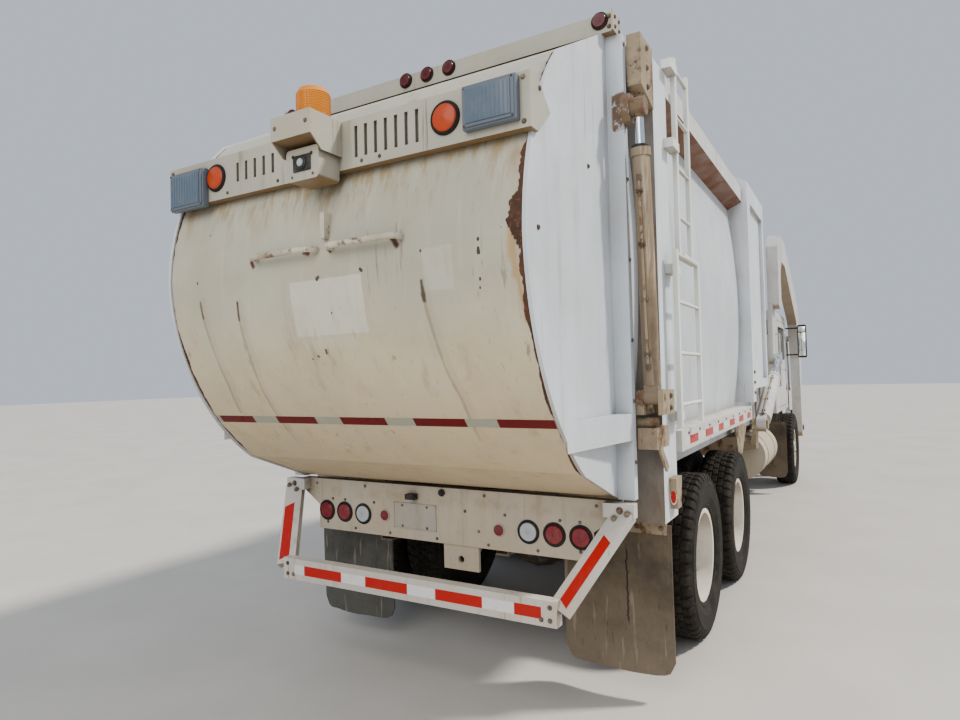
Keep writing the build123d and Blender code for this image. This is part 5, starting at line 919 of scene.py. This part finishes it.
def lens_disc(shape, centre, radius, depth, slot):
    """A domed lens with moulded rings, seen from behind."""
    profile = [(radius, 0.0), (radius, 0.62 * depth)]
    for k in range(5):
        r = radius * (0.94 - 0.19 * k)
        height = depth * (0.86 + 0.14 * k / 4)
        profile += [(r, height - 0.0009), (r - 0.03 * radius, height)]
    shape.turned(profile + [(0.02 * radius, depth)], centre, -BEHIND, 36, slot)


def grommet(shape, centre, inner, outer, depth, slot):
    """A rubber ring round a lens."""
    section = [(inner, 0.0), (outer, 0.0), (outer, 0.45 * depth), (outer - 0.004, 0.85 * depth),
               ((inner + outer) / 2, depth), (inner + 0.003, 0.9 * depth), (inner, 0.6 * depth)]
    shape.hoop(section, centre, -BEHIND, 40, slot)


# Rear lamps as (y, slot of the lens), and the headlamps' ranges
REAR_LAMPS = ((0.864, 1), (0.717, 1), (0.567, 2))
REAR_LAMP_Z = 0.909
LENS_RADIUS = 0.0515
HEADLAMP_Y = (0.6203, 0.8997)
HEADLAMP_Z = (0.7003, 0.8597)


def make_truck_lamps():
    shape = Shape()
    for y, slot in REAR_LAMPS:
        for side in SIDES:
            place = at(0.0, side * y, REAR_LAMP_Z)
            grommet(shape, place, LENS_RADIUS - 0.002, 0.064, 0.0085, 0)
            lens_disc(shape, place, LENS_RADIUS - 0.003, 0.0135, slot)
            shape.turned([(LENS_RADIUS - 0.001, -0.014), (LENS_RADIUS - 0.001, 0.0005)], place, -BEHIND)
    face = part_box("truck_lamps")[1].x
    for side in SIDES:
        low_y, high_y = sorted(side * y for y in HEADLAMP_Y)
        shape.block((face - 0.023, low_y, HEADLAMP_Z[0]), (face - 0.005, high_y, HEADLAMP_Z[1]), 0.004)
        for part in SIDES:
            middle = Vector((face, (low_y + high_y) / 2 + part * 0.066, sum(HEADLAMP_Z) / 2))
            shape.box_at(middle, (0.010, 0.058, 0.062), (-0.001, 0.058, 0.062), 0.003, 2)
            shape.hoop([(0.040, 0.0), (0.049, 0.0), (0.049, 0.0045), (0.040, 0.0035)],
                       middle - Vector((0.004, 0, 0)), (1, 0, 0), 32, 3)
    shape.piece("truck_lamp_set", "lamp_grommet red_lens clear_lens chrome_rod", "truck",
                instead="truck_lamps")


HEADER_LAMP_YS = (1.072, 0.134, -0.016, -0.166, -1.058)
HEADER_LAMP_Z = 3.488
HEADER_LAMP_STATION = -0.050
ROUND_LAMP = (0.702, 2.789, 0.062)
WORK_LAMPS = [((0.765, 1.030), (2.650, 2.850)), ((-1.040, -0.800), (2.705, 2.880))]
WORK_LAMP_BORDER = 0.020
WORK_LAMP_FLUTES = 11


def work_lamp(shape, y_range, z_range, bar_face):
    """A rectangular lamp: housing, raised bezel, fluted lens and its screws."""
    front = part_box("gate_lamps")[0].x
    low_y, high_y = y_range
    low_z, high_z = z_range
    border = WORK_LAMP_BORDER
    for near, far, inset, bevel, slot in ((front + 0.016, bar_face - 0.0003, 0.0, 0.008, 0),
                                          (front + 0.008, front + 0.022, 0.008, 0.004, 0),
                                          (front + 0.003, front + 0.012, border, 0.004, 2)):
        shape.block((near, low_y + inset, low_z + inset), (far, high_y - inset, high_z - inset), bevel, slot)
    for k in range(WORK_LAMP_FLUTES):
        y = low_y + border + 0.008 + (high_y - low_y - 2 * border - 0.016) * k / (WORK_LAMP_FLUTES - 1)
        ends = (low_z + border + 0.006, high_z - border - 0.006)
        shape.tube([(front + 0.0042, y, z) for z in ends], 0.0032, 8, 2)
    for y in (low_y + 0.0135, high_y - 0.0135):
        for z in (low_z + 0.0135, high_z - 0.0135):
            shape.bolt((front + 0.008, y, z), -BEHIND, 0.004, 3)


def make_gate_lamps():
    shape = Shape()
    for y in HEADER_LAMP_YS:
        place = at(HEADER_LAMP_STATION, y, HEADER_LAMP_Z)
        grommet(shape, place, 0.034, 0.044, 0.012, 5)
        lens_disc(shape, place, 0.035, 0.022, 4)
    bar_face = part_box("light_bar")[0].x
    y, z, radius = ROUND_LAMP
    for side in SIDES:
        place = Vector((bar_face, side * y, z))
        grommet(shape, place, radius - 0.006, radius + 0.008, 0.014, 5)
        lens_disc(shape, place, radius - 0.005, 0.0195, 1)
    for y_range, z_range in WORK_LAMPS:
        work_lamp(shape, y_range, z_range, bar_face)
    finishes = "lamp_grey amber_lens smoky_lens cast_iron deep_red_lens lamp_grommet"
    shape.piece("gate_lamp_set", finishes, "tailgate", instead="gate_lamps")


BEACON_RIBS = 13


def make_beacon():
    low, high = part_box("beacon")
    centre = Vector(((low.x + high.x) / 2, (low.y + high.y) / 2, low.z))
    radius = (high.x - low.x) / 2
    height = high.z - low.z
    shape = Shape()
    shape.turned([(radius, 0.0), (radius, 0.014), (radius - 0.004, 0.020), (radius - 0.006, 0.026)],
                 centre, (0, 0, 1), 40, 1)
    profile = [(radius - 0.009, 0.020)]
    for k in range(BEACON_RIBS):
        z = 0.028 + (height - 0.055) * k / BEACON_RIBS
        profile += [(radius - 0.0105, z), (radius - 0.0080, z + 0.0028), (radius - 0.0105, z + 0.0060)]
    profile += [(radius - 0.013, height - 0.022), (radius - 0.020, height - 0.008),
                (radius - 0.034, height - 0.002), (0.012, height)]
    shape.turned(profile, centre, (0, 0, 1), 48)
    for turn in turns(3):
        out = Vector((math.cos(turn + 0.4), math.sin(turn + 0.4), 0))
        place = centre + out * (radius - 0.0055) + Vector((0, 0, 0.018))
        shape.bolt(place, (out.x, out.y, 0.2), 0.0045, 2)
    shape.piece("beacon_lens", "beacon_lens amber_base cast_iron", "tailgate", instead="beacon")


# Tapes, plate and fasteners

STRIPE_Z = 1.536
STRIPE_WIDTH = 0.038
STRIPE_FROM = 1.035
STRIPE_REDS = [(1.011, 0.741), (0.564, 0.284), (0.115, -0.167), (-0.331, -0.612), (-0.773, -1.040)]
BUMPER_REDS = [(0.712, 0.428), (0.255, -0.029), (-0.206, -0.483), (-0.659, -0.800)]
BUMPER_RANGE = (0.790, -0.80)
BUMPER_TOP = 0.695
BUMPER_WIDTH = 0.055
ARM_TOP = (1.110, 1.057)
ARM_FOOT = (0.879, 0.644)
ARM_SHARES = (0.25, 0.72)
ARM_WIDTH = 0.052
APRON_RANGE = (0.76, 3.42)
APRON_Z = 1.330
APRON_WIDTH = 0.050
APRON_REDS = [(0.889, 1.124), (1.343, 1.594), (1.797, 1.995), (2.25, 2.49), (2.70, 2.94), (3.15, 3.36)]
# Oval reflectors on the brackets: (y, z), half sizes, and scale, depth and slot of rim and lens
OVAL_PLACE = (1.239, 1.075)
OVAL_HALF_Y = 0.018
OVAL_HALF_Z = 0.042
OVALS = ((1.0, 0.003, 0), (0.78, 0.006, 1))


def rear_band(shape, node, y_range, z, width, reds):
    """A level band across the rear, its red runs given as falling places along Y."""
    start, end = y_range
    runs = [(start - a, start - b) for a, b in reds]
    band(shape, node, at(-1, start, z), at(-1, end, z), width, runs, BEHIND)


def make_tapes():
    stripe = Shape()
    rear_band(stripe, "gate_skin", (STRIPE_FROM, -STRIPE_FROM - 0.006), STRIPE_Z, STRIPE_WIDTH, STRIPE_REDS)
    stripe.piece("tailgate_stripe", "old_white_tape old_red_tape", "tailgate")
    fixed = Shape()
    bar_z = (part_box("rear_bumper")[0].z + BUMPER_TOP) / 2
    rear_band(fixed, "rear_bumper", BUMPER_RANGE, bar_z, BUMPER_WIDTH, BUMPER_REDS)
    for side in SIDES:
        top, foot = (at(-1, side * y, z) for y, z in (ARM_TOP, ARM_FOOT))
        start, end = (top.lerp(foot, share) for share in ARM_SHARES)
        band(fixed, "rear_bumper", start, end, ARM_WIDTH, [(0.0, 1.0)], BEHIND)
        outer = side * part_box("wheel_shelves")[1].y
        start, end = (at(station, outer, APRON_Z) for station in APRON_RANGE)
        reds = [(a - APRON_RANGE[0], b - APRON_RANGE[0]) for a, b in APRON_REDS]
        band(fixed, "wheel_shelves", start, end, APRON_WIDTH, reds, from_side(side))
        marker = surface("brackets", at(-1, side * OVAL_PLACE[0], OVAL_PLACE[1]), BEHIND)
        for scale, depth, slot in OVALS:
            half_y, half_z = OVAL_HALF_Y * scale, OVAL_HALF_Z * scale
            outline = [marker + Vector((0, half_y * math.cos(turn), half_z * math.sin(turn)))
                       for turn in turns(28)]
            fixed.prism(outline, (-depth, 0, 0), slot)
    fixed.piece("truck_tapes", "white_tape red_tape", "truck")


PLATE_MIDDLE = (0.175, 0.925)
PLATE_HALF_Y = 0.305 / 2
PLATE_HALF_Z = 0.152 / 2
PLATE_RIM = 0.006
PLATE_SCREW_Y = 0.0889
PLATE_SCREW_Z = 0.0603
SMALL_REFLECTORS = [(0.397, 0.915), (-0.389, 0.901)]
PANEL_BOLTS = [
    (0.815, 0.985), (0.714, 0.985), (0.481, 0.985), (0.194, 1.040), (-0.173, 0.985), (-0.427, 0.985),
    (-0.75, 0.985), (-0.86, 0.985), (0.86, 0.835), (0.63, 0.815), (0.36, 0.812), (0.02, 0.812),
    (-0.32, 0.812), (-0.62, 0.815), (-0.86, 0.835), (-0.26, 0.880), (0.95, 1.075), (0.55, 1.080),
    (-0.30, 1.080), (-0.95, 1.075),
]


def make_panel_fittings():
    shape = Shape()
    y, z = PLATE_MIDDLE
    wide, tall, rim = PLATE_HALF_Y, PLATE_HALF_Z, PLATE_RIM
    shape.block(at(-0.0035, y - wide, z - tall), at(0.0, y + wide, z + tall), 0.0010)
    for low, high in (((-wide, -tall), (wide, -tall + rim)), ((-wide, tall - rim), (wide, tall)),
                      ((-wide, -tall), (-wide + rim, tall)), ((wide - rim, -tall), (wide, tall))):
        shape.block(at(-0.0055, y + low[0], z + low[1]), at(-0.0030, y + high[0], z + high[1]), 0.0008)
    for side_y in SIDES:
        for side_z in SIDES:
            place = at(-0.0035, y + side_y * PLATE_SCREW_Y, z + side_z * PLATE_SCREW_Z)
            shape.bolt(place, -BEHIND, 0.006, 1)
    shape.studs("rear_panel", 0.0070, BEHIND, [at(-1, *place) for place in PANEL_BOLTS], 1)
    for place in SMALL_REFLECTORS:
        centre = at(0.0, *place)
        shape.turned([(0.036, 0.0), (0.036, 0.0035), (0.033, 0.0055)], centre, -BEHIND)
        shape.turned([(0.030, 0.0050), (0.030, 0.0072), (0.026, 0.0080)], centre, -BEHIND, slot=2)
    shape.block(at(-0.045, 0.150, 1.028), at(0.0, 0.215, 1.062), 0.006, 3)
    shape.block(at(-0.040, 0.158, 1.022), at(-0.006, 0.207, 1.030), 0.003, 4)
    shape.turned([(0.020, 0.0), (0.020, 0.010), (0.012, 0.016), (0.012, 0.022)], at(0.0, -0.020, 1.078),
                 -BEHIND, 18, 3)
    finishes = "blank_plate bolt_steel red_lens black_plastic clear_lens"
    shape.piece("panel_fittings", finishes, "truck")


# Bolts on both sides: node, size, seen from behind or not, and (y, z) or else (station, z) places
TRUCK_BOLTS = [
    ("rear_bumper", 0.0090, True, [(0.845, 0.665), (0.845, 0.605), (0.800, 0.605)]),
    ("rear_bumper", 0.0130, True, [(1.090, 1.075), (1.130, 1.060), (1.065, 1.035)]),
    ("body_frames", 0.0150, False, [(3.69, 1.52), (3.69, 1.62), (3.69, 1.72)]),
    ("brackets", 0.0120, False, [(0.17, 3.40), (0.17, 3.30), (0.17, 3.20), (0.20, 1.56), (0.20, 1.62)]),
    ("brackets", 0.0100, True, [(0.66 + 0.13 * k, 0.915) for k in range(5)]),
    ("wheel_shelves", 0.0075, False, [(0.86 + 0.31 * k, 1.375) for k in range(9)]),
    ("steps", 0.0080, False, [(station, z) for station in (7.00, 7.12, 7.24) for z in (0.60, 0.95)]),
    ("ladder", 0.0090, False, [(0.46, 1.480), (0.46, 1.540), (0.46, 2.280), (0.46, 2.340)]),
]
GATE_BOLTS = [
    ("gate_sides", 0.0085, False, [(-0.852, 2.310), (0.025, 3.380), (0.025, 3.093), (-0.290, 2.697)]),
    ("gate_sides", 0.0085, False, [(0.025, z) for z in (2.70, 2.30, 1.90, 1.60, 1.30)]),
    ("gate_header", 0.0080, False, [(-0.03, 3.500), (0.03, 3.500), (-0.03, 3.450), (0.03, 3.450)]),
    ("gate_header", 0.0085, True, [(1.105, 3.50), (1.105, 3.45)]),
    ("light_bar", 0.0080, True, [(1.055, 2.70)]),
    ("light_bar", 0.0080, False, [(-0.845, 2.68)]),
    ("light_bar", 0.0080, True, [(1.055, 2.87)]),
    ("light_bar", 0.0080, False, [(-0.845, 2.85)]),
]


def make_truck_bolts():
    shape = Shape()
    shape.stud_rows(TRUCK_BOLTS)
    front = [Vector((9, y, z)) for y in (-0.95, -0.45, 0.45, 0.95) for z in (0.58, 0.84)]
    shape.studs("front_bumper", 0.0130, FROM_FRONT, front)
    shape.piece("truck_bolts", "bolt_steel", "truck")


def make_gate_bolts():
    shape = Shape()
    shape.stud_rows(GATE_BOLTS)
    shape.studs("light_bar", 0.0065, BEHIND, [at(-1, y, 2.700) for y in (-0.36, -0.26, 0.26, 0.62)])
    low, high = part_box("beacon_box")
    for y in (low.y + 0.025, high.y - 0.025):
        inner = y + (0.03 if y < -0.03 else -0.03)
        shape.studs("beacon_box", 0.0075, BEHIND, [(-9, y, high.z - 0.05)])
        shape.studs("beacon_box", 0.0050, BEHIND, [(-9, inner, low.z + 0.02)])
    middle = (low.y + high.y) / 2
    place = surface("beacon_box", (-9, middle, low.z + 0.075), BEHIND)
    shape.box_at(place, (0.006, 0.052, 0.036), (0.002, 0.052, 0.036), 0.004, 1)
    place = place - Vector((0.005, 0, 0))
    shape.turned([(0.030, 0.0), (0.030, 0.006), (0.024, 0.010)], place, -BEHIND, 24, 1)
    shape.turned([(0.018, 0.008), (0.017, 0.012), (0.008, 0.014)], place, -BEHIND, 20, 2)
    screws = [(-9, middle + offset, low.z + 0.11) for offset in (-0.055, 0.055)]
    shape.studs("beacon_box", 0.0060, BEHIND, screws, 1)
    shape.piece("tailgate_fasteners", "bolt_steel black_plastic clear_lens", "tailgate")


# Mud flaps

FLAP_COLUMNS = 22
FLAP_ROWS = 30
FLAP_CORNER = 0.075
# Each flap's (y, z and station) ranges, and how far it waves
FLAPS = [
    ((0.620, 1.230), (0.130, 0.930), (0.3455, 0.3565), 0.010),
    ((0.800, 1.180), (0.220, 1.000), (6.9385, 6.9490), 0.003),
]


def flap_point(y_range, z_range, wave, column, row):
    """The bend, y and z of one point of a flap."""
    low_y, high_y = y_range
    low_z, high_z = z_range
    y = low_y + (high_y - low_y) * column / FLAP_COLUMNS
    share = row / FLAP_ROWS
    lift = 0.0
    short = FLAP_CORNER - min(y - low_y, high_y - y)
    if short > 0:
        lift = FLAP_CORNER - math.sqrt(max(0.0, FLAP_CORNER * FLAP_CORNER - short ** 2))
    nick = 0.010 * max(0.0, noise.noise(Vector((y * 11.0, low_z + 3.0, 1.7))))
    z = high_z + (low_z + lift + nick - high_z) * share
    swing = wave * share ** 1.4
    ripple = math.sin(5.2 * (y - low_y) / (high_y - low_y) + 2.0 * share)
    bend = swing * (ripple + 0.4 * math.sin(13 * y + 5 * share))
    return bend + 0.35 * swing * noise.noise(Vector((y * 4, z * 4, low_y))), y, z


def flap_sheet(shape, y_range, z_range, depth_x, wave):
    """A hanging rubber sheet with rounded lower corners, waves and a nicked lower edge."""
    wide = FLAP_COLUMNS + 1
    total = wide * (FLAP_ROWS + 1)
    places = [flap_point(y_range, z_range, wave, c, r) for r in range(FLAP_ROWS + 1) for c in range(wide)]
    points = [Vector((x + bend, y, z)) for x in depth_x for bend, y, z in places]
    loops = []
    for r in range(FLAP_ROWS):
        for a in range(r * wide, r * wide + FLAP_COLUMNS):
            b = a + wide
            loops += [(a, a + 1, b + 1, b), (a + total, b + total, b + total + 1, a + total + 1)]
    for c in range(FLAP_COLUMNS):
        for a in (c, FLAP_ROWS * wide + c):
            loops.append((a, a + total, a + 1 + total, a + 1))
    for r in range(FLAP_ROWS):
        for a in (r * wide, r * wide + FLAP_COLUMNS):
            loops.append((a, a + wide, a + wide + total, a + total))
    shape.faces(points, loops)


def make_flaps():
    shape = Shape()
    for side in SIDES:
        for y_range, z_range, depth, wave in FLAPS:
            flap_sheet(shape, sorted(side * y for y in y_range), z_range, [PANEL_X + x for x in depth], wave)
    shape.piece("mud_flap_sheets", "flap_rubber", "truck", 50.0, "mud_flaps")


# Pipes and hoses that are held at both ends

def between(node, point, look):
    """Middle and half thickness of a node along a look through a point."""
    near, far = surface(node, point, look), surface(node, point, -look)
    return (near + far) / 2, (far - near).length / 2


def ram_fittings(node, probes, look, seal_at=None):
    """A pipe along a ram's barrel, its clamps and end fittings, and the black seal at the rod."""
    shape = Shape()
    for side in SIDES:
        (first, radius), (last, _) = (between(node, Vector((x, side * y, z)), look) for x, y, z in probes)
        run = (last - first).normalized()
        if seal_at is not None:
            seal = [(0.62, 0.0), (1.02, 0.0), (1.02, 0.010), (0.9, 0.014), (0.62, 0.014)]
            end = last + run * (seal_at - last.z) / run.z
            shape.hoop([(radius * share, along) for share, along in seal], end, run, 28, 2)
        offset = run.cross(Vector((0, 1, 0))).normalized() * (radius + 0.008)
        if offset.x > 0:
            offset = -offset
        low, high = first + offset, last + offset
        tips = (low - run * 0.03, high + run * 0.03)
        shape.tube([tips[0] - offset * 0.15, low, high, tips[1] - offset * 0.15], 0.0065, 10, 1)
        for share in (0.04, 0.35, 0.66, 0.96):
            centre = low.lerp(high, share) - offset * 0.06
            shape.tube([centre + Vector((0, end * 0.016, 0)) for end in SIDES], 0.011)
        for tip in tips:
            shape.turned([(0.013, -0.014), (0.013, 0.014)], tip - offset * 0.12, run, 6)
    shape.piece(node + "_pipes", "bolt_steel rusty_cream hose_rubber", node)


# Hoses: both ends as (station, y, z), and how far each hangs
HOSES = [
    ((5.595, -1.020, 0.86), (5.960, -0.950, 1.145), 0.10),
    ((5.595, -0.930, 0.82), (6.000, -0.880, 1.145), 0.12),
    ((4.490, -0.960, 0.90), (4.300, -0.442, 0.90), 0.10),
    ((4.490, -0.900, 0.96), (4.400, -0.442, 0.98), 0.08),
]
HOSE_STEPS = 8


def make_pipes():
    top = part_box("gate_barrels")[1].z
    ram_fittings("gate_barrels", [(0, 1.222, 1.80), (0, 1.222, 2.66)], BEHIND, top)
    ram_fittings("arm_barrels", [(0.35, 1.2, 0), (1.25, 1.2, 0)], -FROM_ABOVE)
    shape = Shape()
    for start, end, drop in HOSES:
        shares = [k / HOSE_STEPS for k in range(HOSE_STEPS + 1)]
        points = [at(*start).lerp(at(*end), share) for share in shares]
        for point, share in zip(points, shares):
            point.z -= drop * 4 * share * (1 - share)
        shape.tube(points, 0.015, 12, 1)
        for tip, inner in ((points[0], points[1]), (points[-1], points[-2])):
            shape.turned([(0.021, -0.004), (0.021, 0.026)], tip, inner - tip, 6)
    cap = surface("tanks", at(5.05, -0.95, 9), FROM_ABOVE)
    shape.turned([(0.050, -0.01), (0.050, 0.016), (0.044, 0.022), (0.010, 0.024)], cap, (0, 0, 1), 24)
    shape.piece("truck_hoses", "bolt_steel hose_rubber", "truck")


# Cab

GRAB_RAIL = ((7.16, 1.50), (7.16, 2.25))
GRAB_RAIL_OFF = 0.045
CAB_MARKER = (7.05, 1.62)
ROOF_LAMP_STATION = 8.48
ROOF_LAMP_YS = (-0.80, -0.40, 0.0, 0.40, 0.80)
WIPER_FOOT = (0.42, 1.765)
WIPER_TIP = (0.12, 2.28)
# How far both wipers lean to the left
WIPER_LEAN = 0.30


def make_cab_fittings():
    shape = Shape()
    for side in SIDES:
        foot = surface("cab_shell", (9, side * WIPER_FOOT[0], WIPER_FOOT[1]), FROM_FRONT)
        shape.turned([(0.022, 0.0), (0.022, 0.018), (0.014, 0.030)], foot, (1, 0, 0.1), 16)
        tip = surface("cab_glass", (9, side * WIPER_TIP[0] + WIPER_LEAN, WIPER_TIP[1]), FROM_FRONT)
        start = foot + Vector((0.026, 0, 0))
        shape.tube([start, start.lerp(tip, 0.5) + Vector((0.026, 0, 0)), tip + Vector((0.010, 0, 0))], 0.006)
        blade = tip - start
        middle = tip + Vector((0.006, 0, 0))
        run = Vector((blade.x, blade.y * 0.2, blade.z)).normalized() * 0.26
        shape.tube([middle - run, middle + run * 0.55], 0.0065, 6)
        look = from_side(side)
        low, high = (surface("cab_shell", at(station, side * 2, z), look) for station, z in GRAB_RAIL)
        for hit in (low, high):
            shape.turned([(0.016, 0.0), (0.016, 0.008)], hit, -look, 12, 1)
        off = look * GRAB_RAIL_OFF
        shape.tube([low, low - off, high - off, high], 0.013, 12, 1)
        marker = surface("cab_shell", at(CAB_MARKER[0], side * 2, CAB_MARKER[1]), look)
        shape.box_at(marker, (0.045, 0.012, 0.022), (0.045, 0.012, 0.022), 0.006, 2)
    for y in ROOF_LAMP_YS:
        roof = surface("cab_shell", at(ROOF_LAMP_STATION, y, 9), FROM_ABOVE)
        shape.box_at(roof, (0.040, 0.055, 0.006), (0.040, 0.055, 0.030), 0.010, 2)
    shape.piece("cab_trim", "black_plastic white_paint beacon_lens", "truck")
    glasses = Shape()
    low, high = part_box("mirrors")
    for side in SIDES:
        inner, outer = sorted((side * (high.y - 0.115), side * (high.y - 0.015)))
        for bottom, top in ((low.z + 0.03, high.z - 0.13), (high.z - 0.115, high.z - 0.03)):
            glasses.block((low.x - 0.003, inner, bottom), (low.x + 0.002, outer, top), 0.002)
    glasses.piece("mirror_glasses", "mirror_glass", "truck")


SEAT_Y = 0.620
FLOOR_Z = 1.165
# Parts of a seat: station range, half width, height range and the axis along which the pad is thin
SEAT_PADS = [
    ("cushion", (7.252, 7.750), 0.238, (1.437, 1.585), 2),
    ("back", (7.152, 7.270), 0.238, (1.587, 2.143), 0),
    ("headrest", (7.166, 7.250), 0.129, (2.146, 2.314), 0),
]
HUMP = [(6.996, 1.166), (7.699, 1.166), (7.699, 1.56), (7.675, 1.60), (7.53, 1.668), (7.49, 1.684),
        (6.996, 1.684)]
DASH = [(8.42, 1.166), (8.6545, 1.166), (8.6545, 1.69), (8.64, 1.699), (8.37, 1.699), (8.345, 1.69),
        (8.306, 1.62), (8.301, 1.60), (8.301, 1.45), (8.31, 1.44)]
# Gauges as (y, radius)
GAUGES = ((0.53, 0.055), (0.66, 0.055), (0.78, 0.035), (0.43, 0.035))
GAUGE_STATION = 8.3005
GAUGE_Z = 1.545
SWITCHES = 6
# A pad's cuts along each edge, and its sewn channels as shares of its half size
PAD_CUTS = 22
CHANNEL_ALONG = 0.52
CHANNEL_ACROSS = 0.62
CHANNEL_WIDTH = 0.045


def make_pad(name, x_range, half, z_range, middle_y, thin):
    """A stuffed pad: crowned faces, sides drawn in between the corners, and sewn channels."""
    mesh = bmesh.new()
    bmesh.ops.create_cube(mesh, size=2.0)
    bmesh.ops.subdivide_edges(mesh, edges=mesh.edges[:], cuts=PAD_CUTS, use_grid_fill=True)
    size = Vector(((x_range[1] - x_range[0]) / 2, half, (z_range[1] - z_range[0]) / 2))
    centre = Vector((PANEL_X + sum(x_range) / 2, middle_y, sum(z_range) / 2))
    wide = [axis for axis in range(3) if axis != thin]
    for vert in mesh.verts:
        p = vert.co.copy()
        q = p.copy()
        a, b = (p[axis] for axis in wide)
        rim = max(abs(a), abs(b))
        q[thin] = p[thin] * (1.0 - 0.42 * rim ** 8) * (1.0 - 0.05 * (a * a + b * b))
        for axis, other in (wide, reversed(wide)):
            q[axis] = p[axis] * (1.0 - 0.035 * (1.0 - p[other] ** 2) - 0.05 * p[thin] ** 2)
            q[axis] *= 1.0 - 0.05 * abs(p[other]) ** 9
        length, breadth = (b, a) if thin == 2 else (a, b)
        channel = min(abs(abs(length) - CHANNEL_ALONG), abs(abs(breadth) - CHANNEL_ACROSS))
        q[thin] *= 1.0 - 0.10 * math.exp(-(channel / CHANNEL_WIDTH) ** 2)
        q[thin] *= 1.0 + 0.03 * noise.noise(Vector((p.x * 2.3, p.y * 2.3 + middle_y, p.z * 2.3)))
        vert.co = Vector((q.x * size.x, q.y * size.y, q.z * size.z)) + centre
    pad = Shape(mesh).piece(name, "seat_fabric", "truck", 80.0)
    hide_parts("cab_interior")


def make_cab_inside():
    for side, word in zip(SIDES, ("right", "left")):
        for part, x_range, half, z_range, thin in SEAT_PADS:
            make_pad("seat_" + part + "_" + word, x_range, half, z_range, side * SEAT_Y, thin)
    shape = Shape()
    for y in (-SEAT_Y, SEAT_Y):
        shape.block(at(7.30, y - 0.18, FLOOR_Z), at(7.70, y + 0.18, 1.40), 0.02)
        shape.block(at(7.27, y - 0.21, 1.395), at(7.73, y + 0.21, 1.436), 0.012)
        for post in (-0.06, 0.06):
            shape.tube([at(7.208, y + post, 2.135), at(7.208, y + post, 2.155)], 0.007, 8, 1)
    for outline, half in ((HUMP, 0.329), (DASH, 0.919)):
        shape.prism([at(station, -half, z) for station, z in outline], (0, 2 * half, 0))
    for y, radius in GAUGES:
        centre = at(GAUGE_STATION, y, GAUGE_Z)
        inner = radius - 0.006
        shape.hoop([(inner, 0.0), (radius, 0.0), (radius, 0.008), (inner, 0.006)], centre, FROM_FRONT, 28, 1)
        shape.turned([(inner, 0.0), (radius - 0.007, 0.003)], centre, FROM_FRONT, 28, 2)
    for k in range(SWITCHES):
        shape.block(at(8.294, 0.05 + 0.045 * k, 1.50), at(8.301, 0.08 + 0.045 * k, 1.53), 0.002, 1)
    finishes = "black_plastic chrome_rod tinted_glass"
    shape.piece("cab_fittings", finishes, "truck", instead="cab_interior")


# Stage

FLOOR_REACH = 70.0
SKY_COLOR = (0.80, 0.88, 1.0, 1.0)
SKY_STRENGTH = 0.74


def make_camera():
    data = bpy.data.cameras.new("camera")
    data.lens = CAMERA_LENS
    data.sensor_width = CAMERA_SENSOR
    camera = place_in_scene("camera", data)
    turn = Matrix((CAMERA_RIGHT, CAMERA_UP, -CAMERA_AHEAD)).transposed()
    camera.matrix_world = Matrix.Translation(CAMERA_STATION + Vector((PANEL_X, 0, 0))) @ turn.to_4x4()
    bpy.context.scene.camera = camera


def make_light(name, kind, place, aim, energy, color):
    data = bpy.data.lights.new(name, kind)
    data.energy = energy
    data.color = color
    light = place_in_scene(name, data)
    light.location = place
    light.rotation_euler = (Vector(aim) - Vector(place)).to_track_quat("-Z", "Y").to_euler()
    return data


def make_stage():
    mesh = bpy.data.meshes.new("floor")
    corners = [(x * FLOOR_REACH, y * FLOOR_REACH, 0) for x, y in ((-1, -1), (1, -1), (1, 1), (-1, 1))]
    mesh.from_pydata(corners, [], [(0, 1, 2, 3)])
    mesh.materials.append(materials["pale_floor"])
    place_in_scene("floor", mesh)
    world = bpy.data.worlds.new("studio")
    bpy.context.scene.world = world
    world.use_nodes = True
    sky = world.node_tree.nodes["Background"]
    sky.inputs["Color"].default_value = SKY_COLOR
    sky.inputs["Strength"].default_value = SKY_STRENGTH
    sun = make_light("sun", "SUN", (6, -9, 12), (0, 0, 0), 4.6, (1.0, 0.94, 0.85))
    sun.angle = math.radians(6)
    fill = make_light("rear_fill", "AREA", (-13, -1, 7), (-4, 0, 1.6), 650, (1.0, 0.96, 0.90))
    fill.size = 7.0


make_materials()
dress_nodes()
make_tyres()
make_wheel_nuts()
make_truck_lamps()
make_gate_lamps()
make_beacon()
make_tapes()
make_panel_fittings()
make_truck_bolts()
make_gate_bolts()
make_flaps()
make_pipes()
make_cab_fittings()
make_cab_inside()
make_camera()
make_stage()
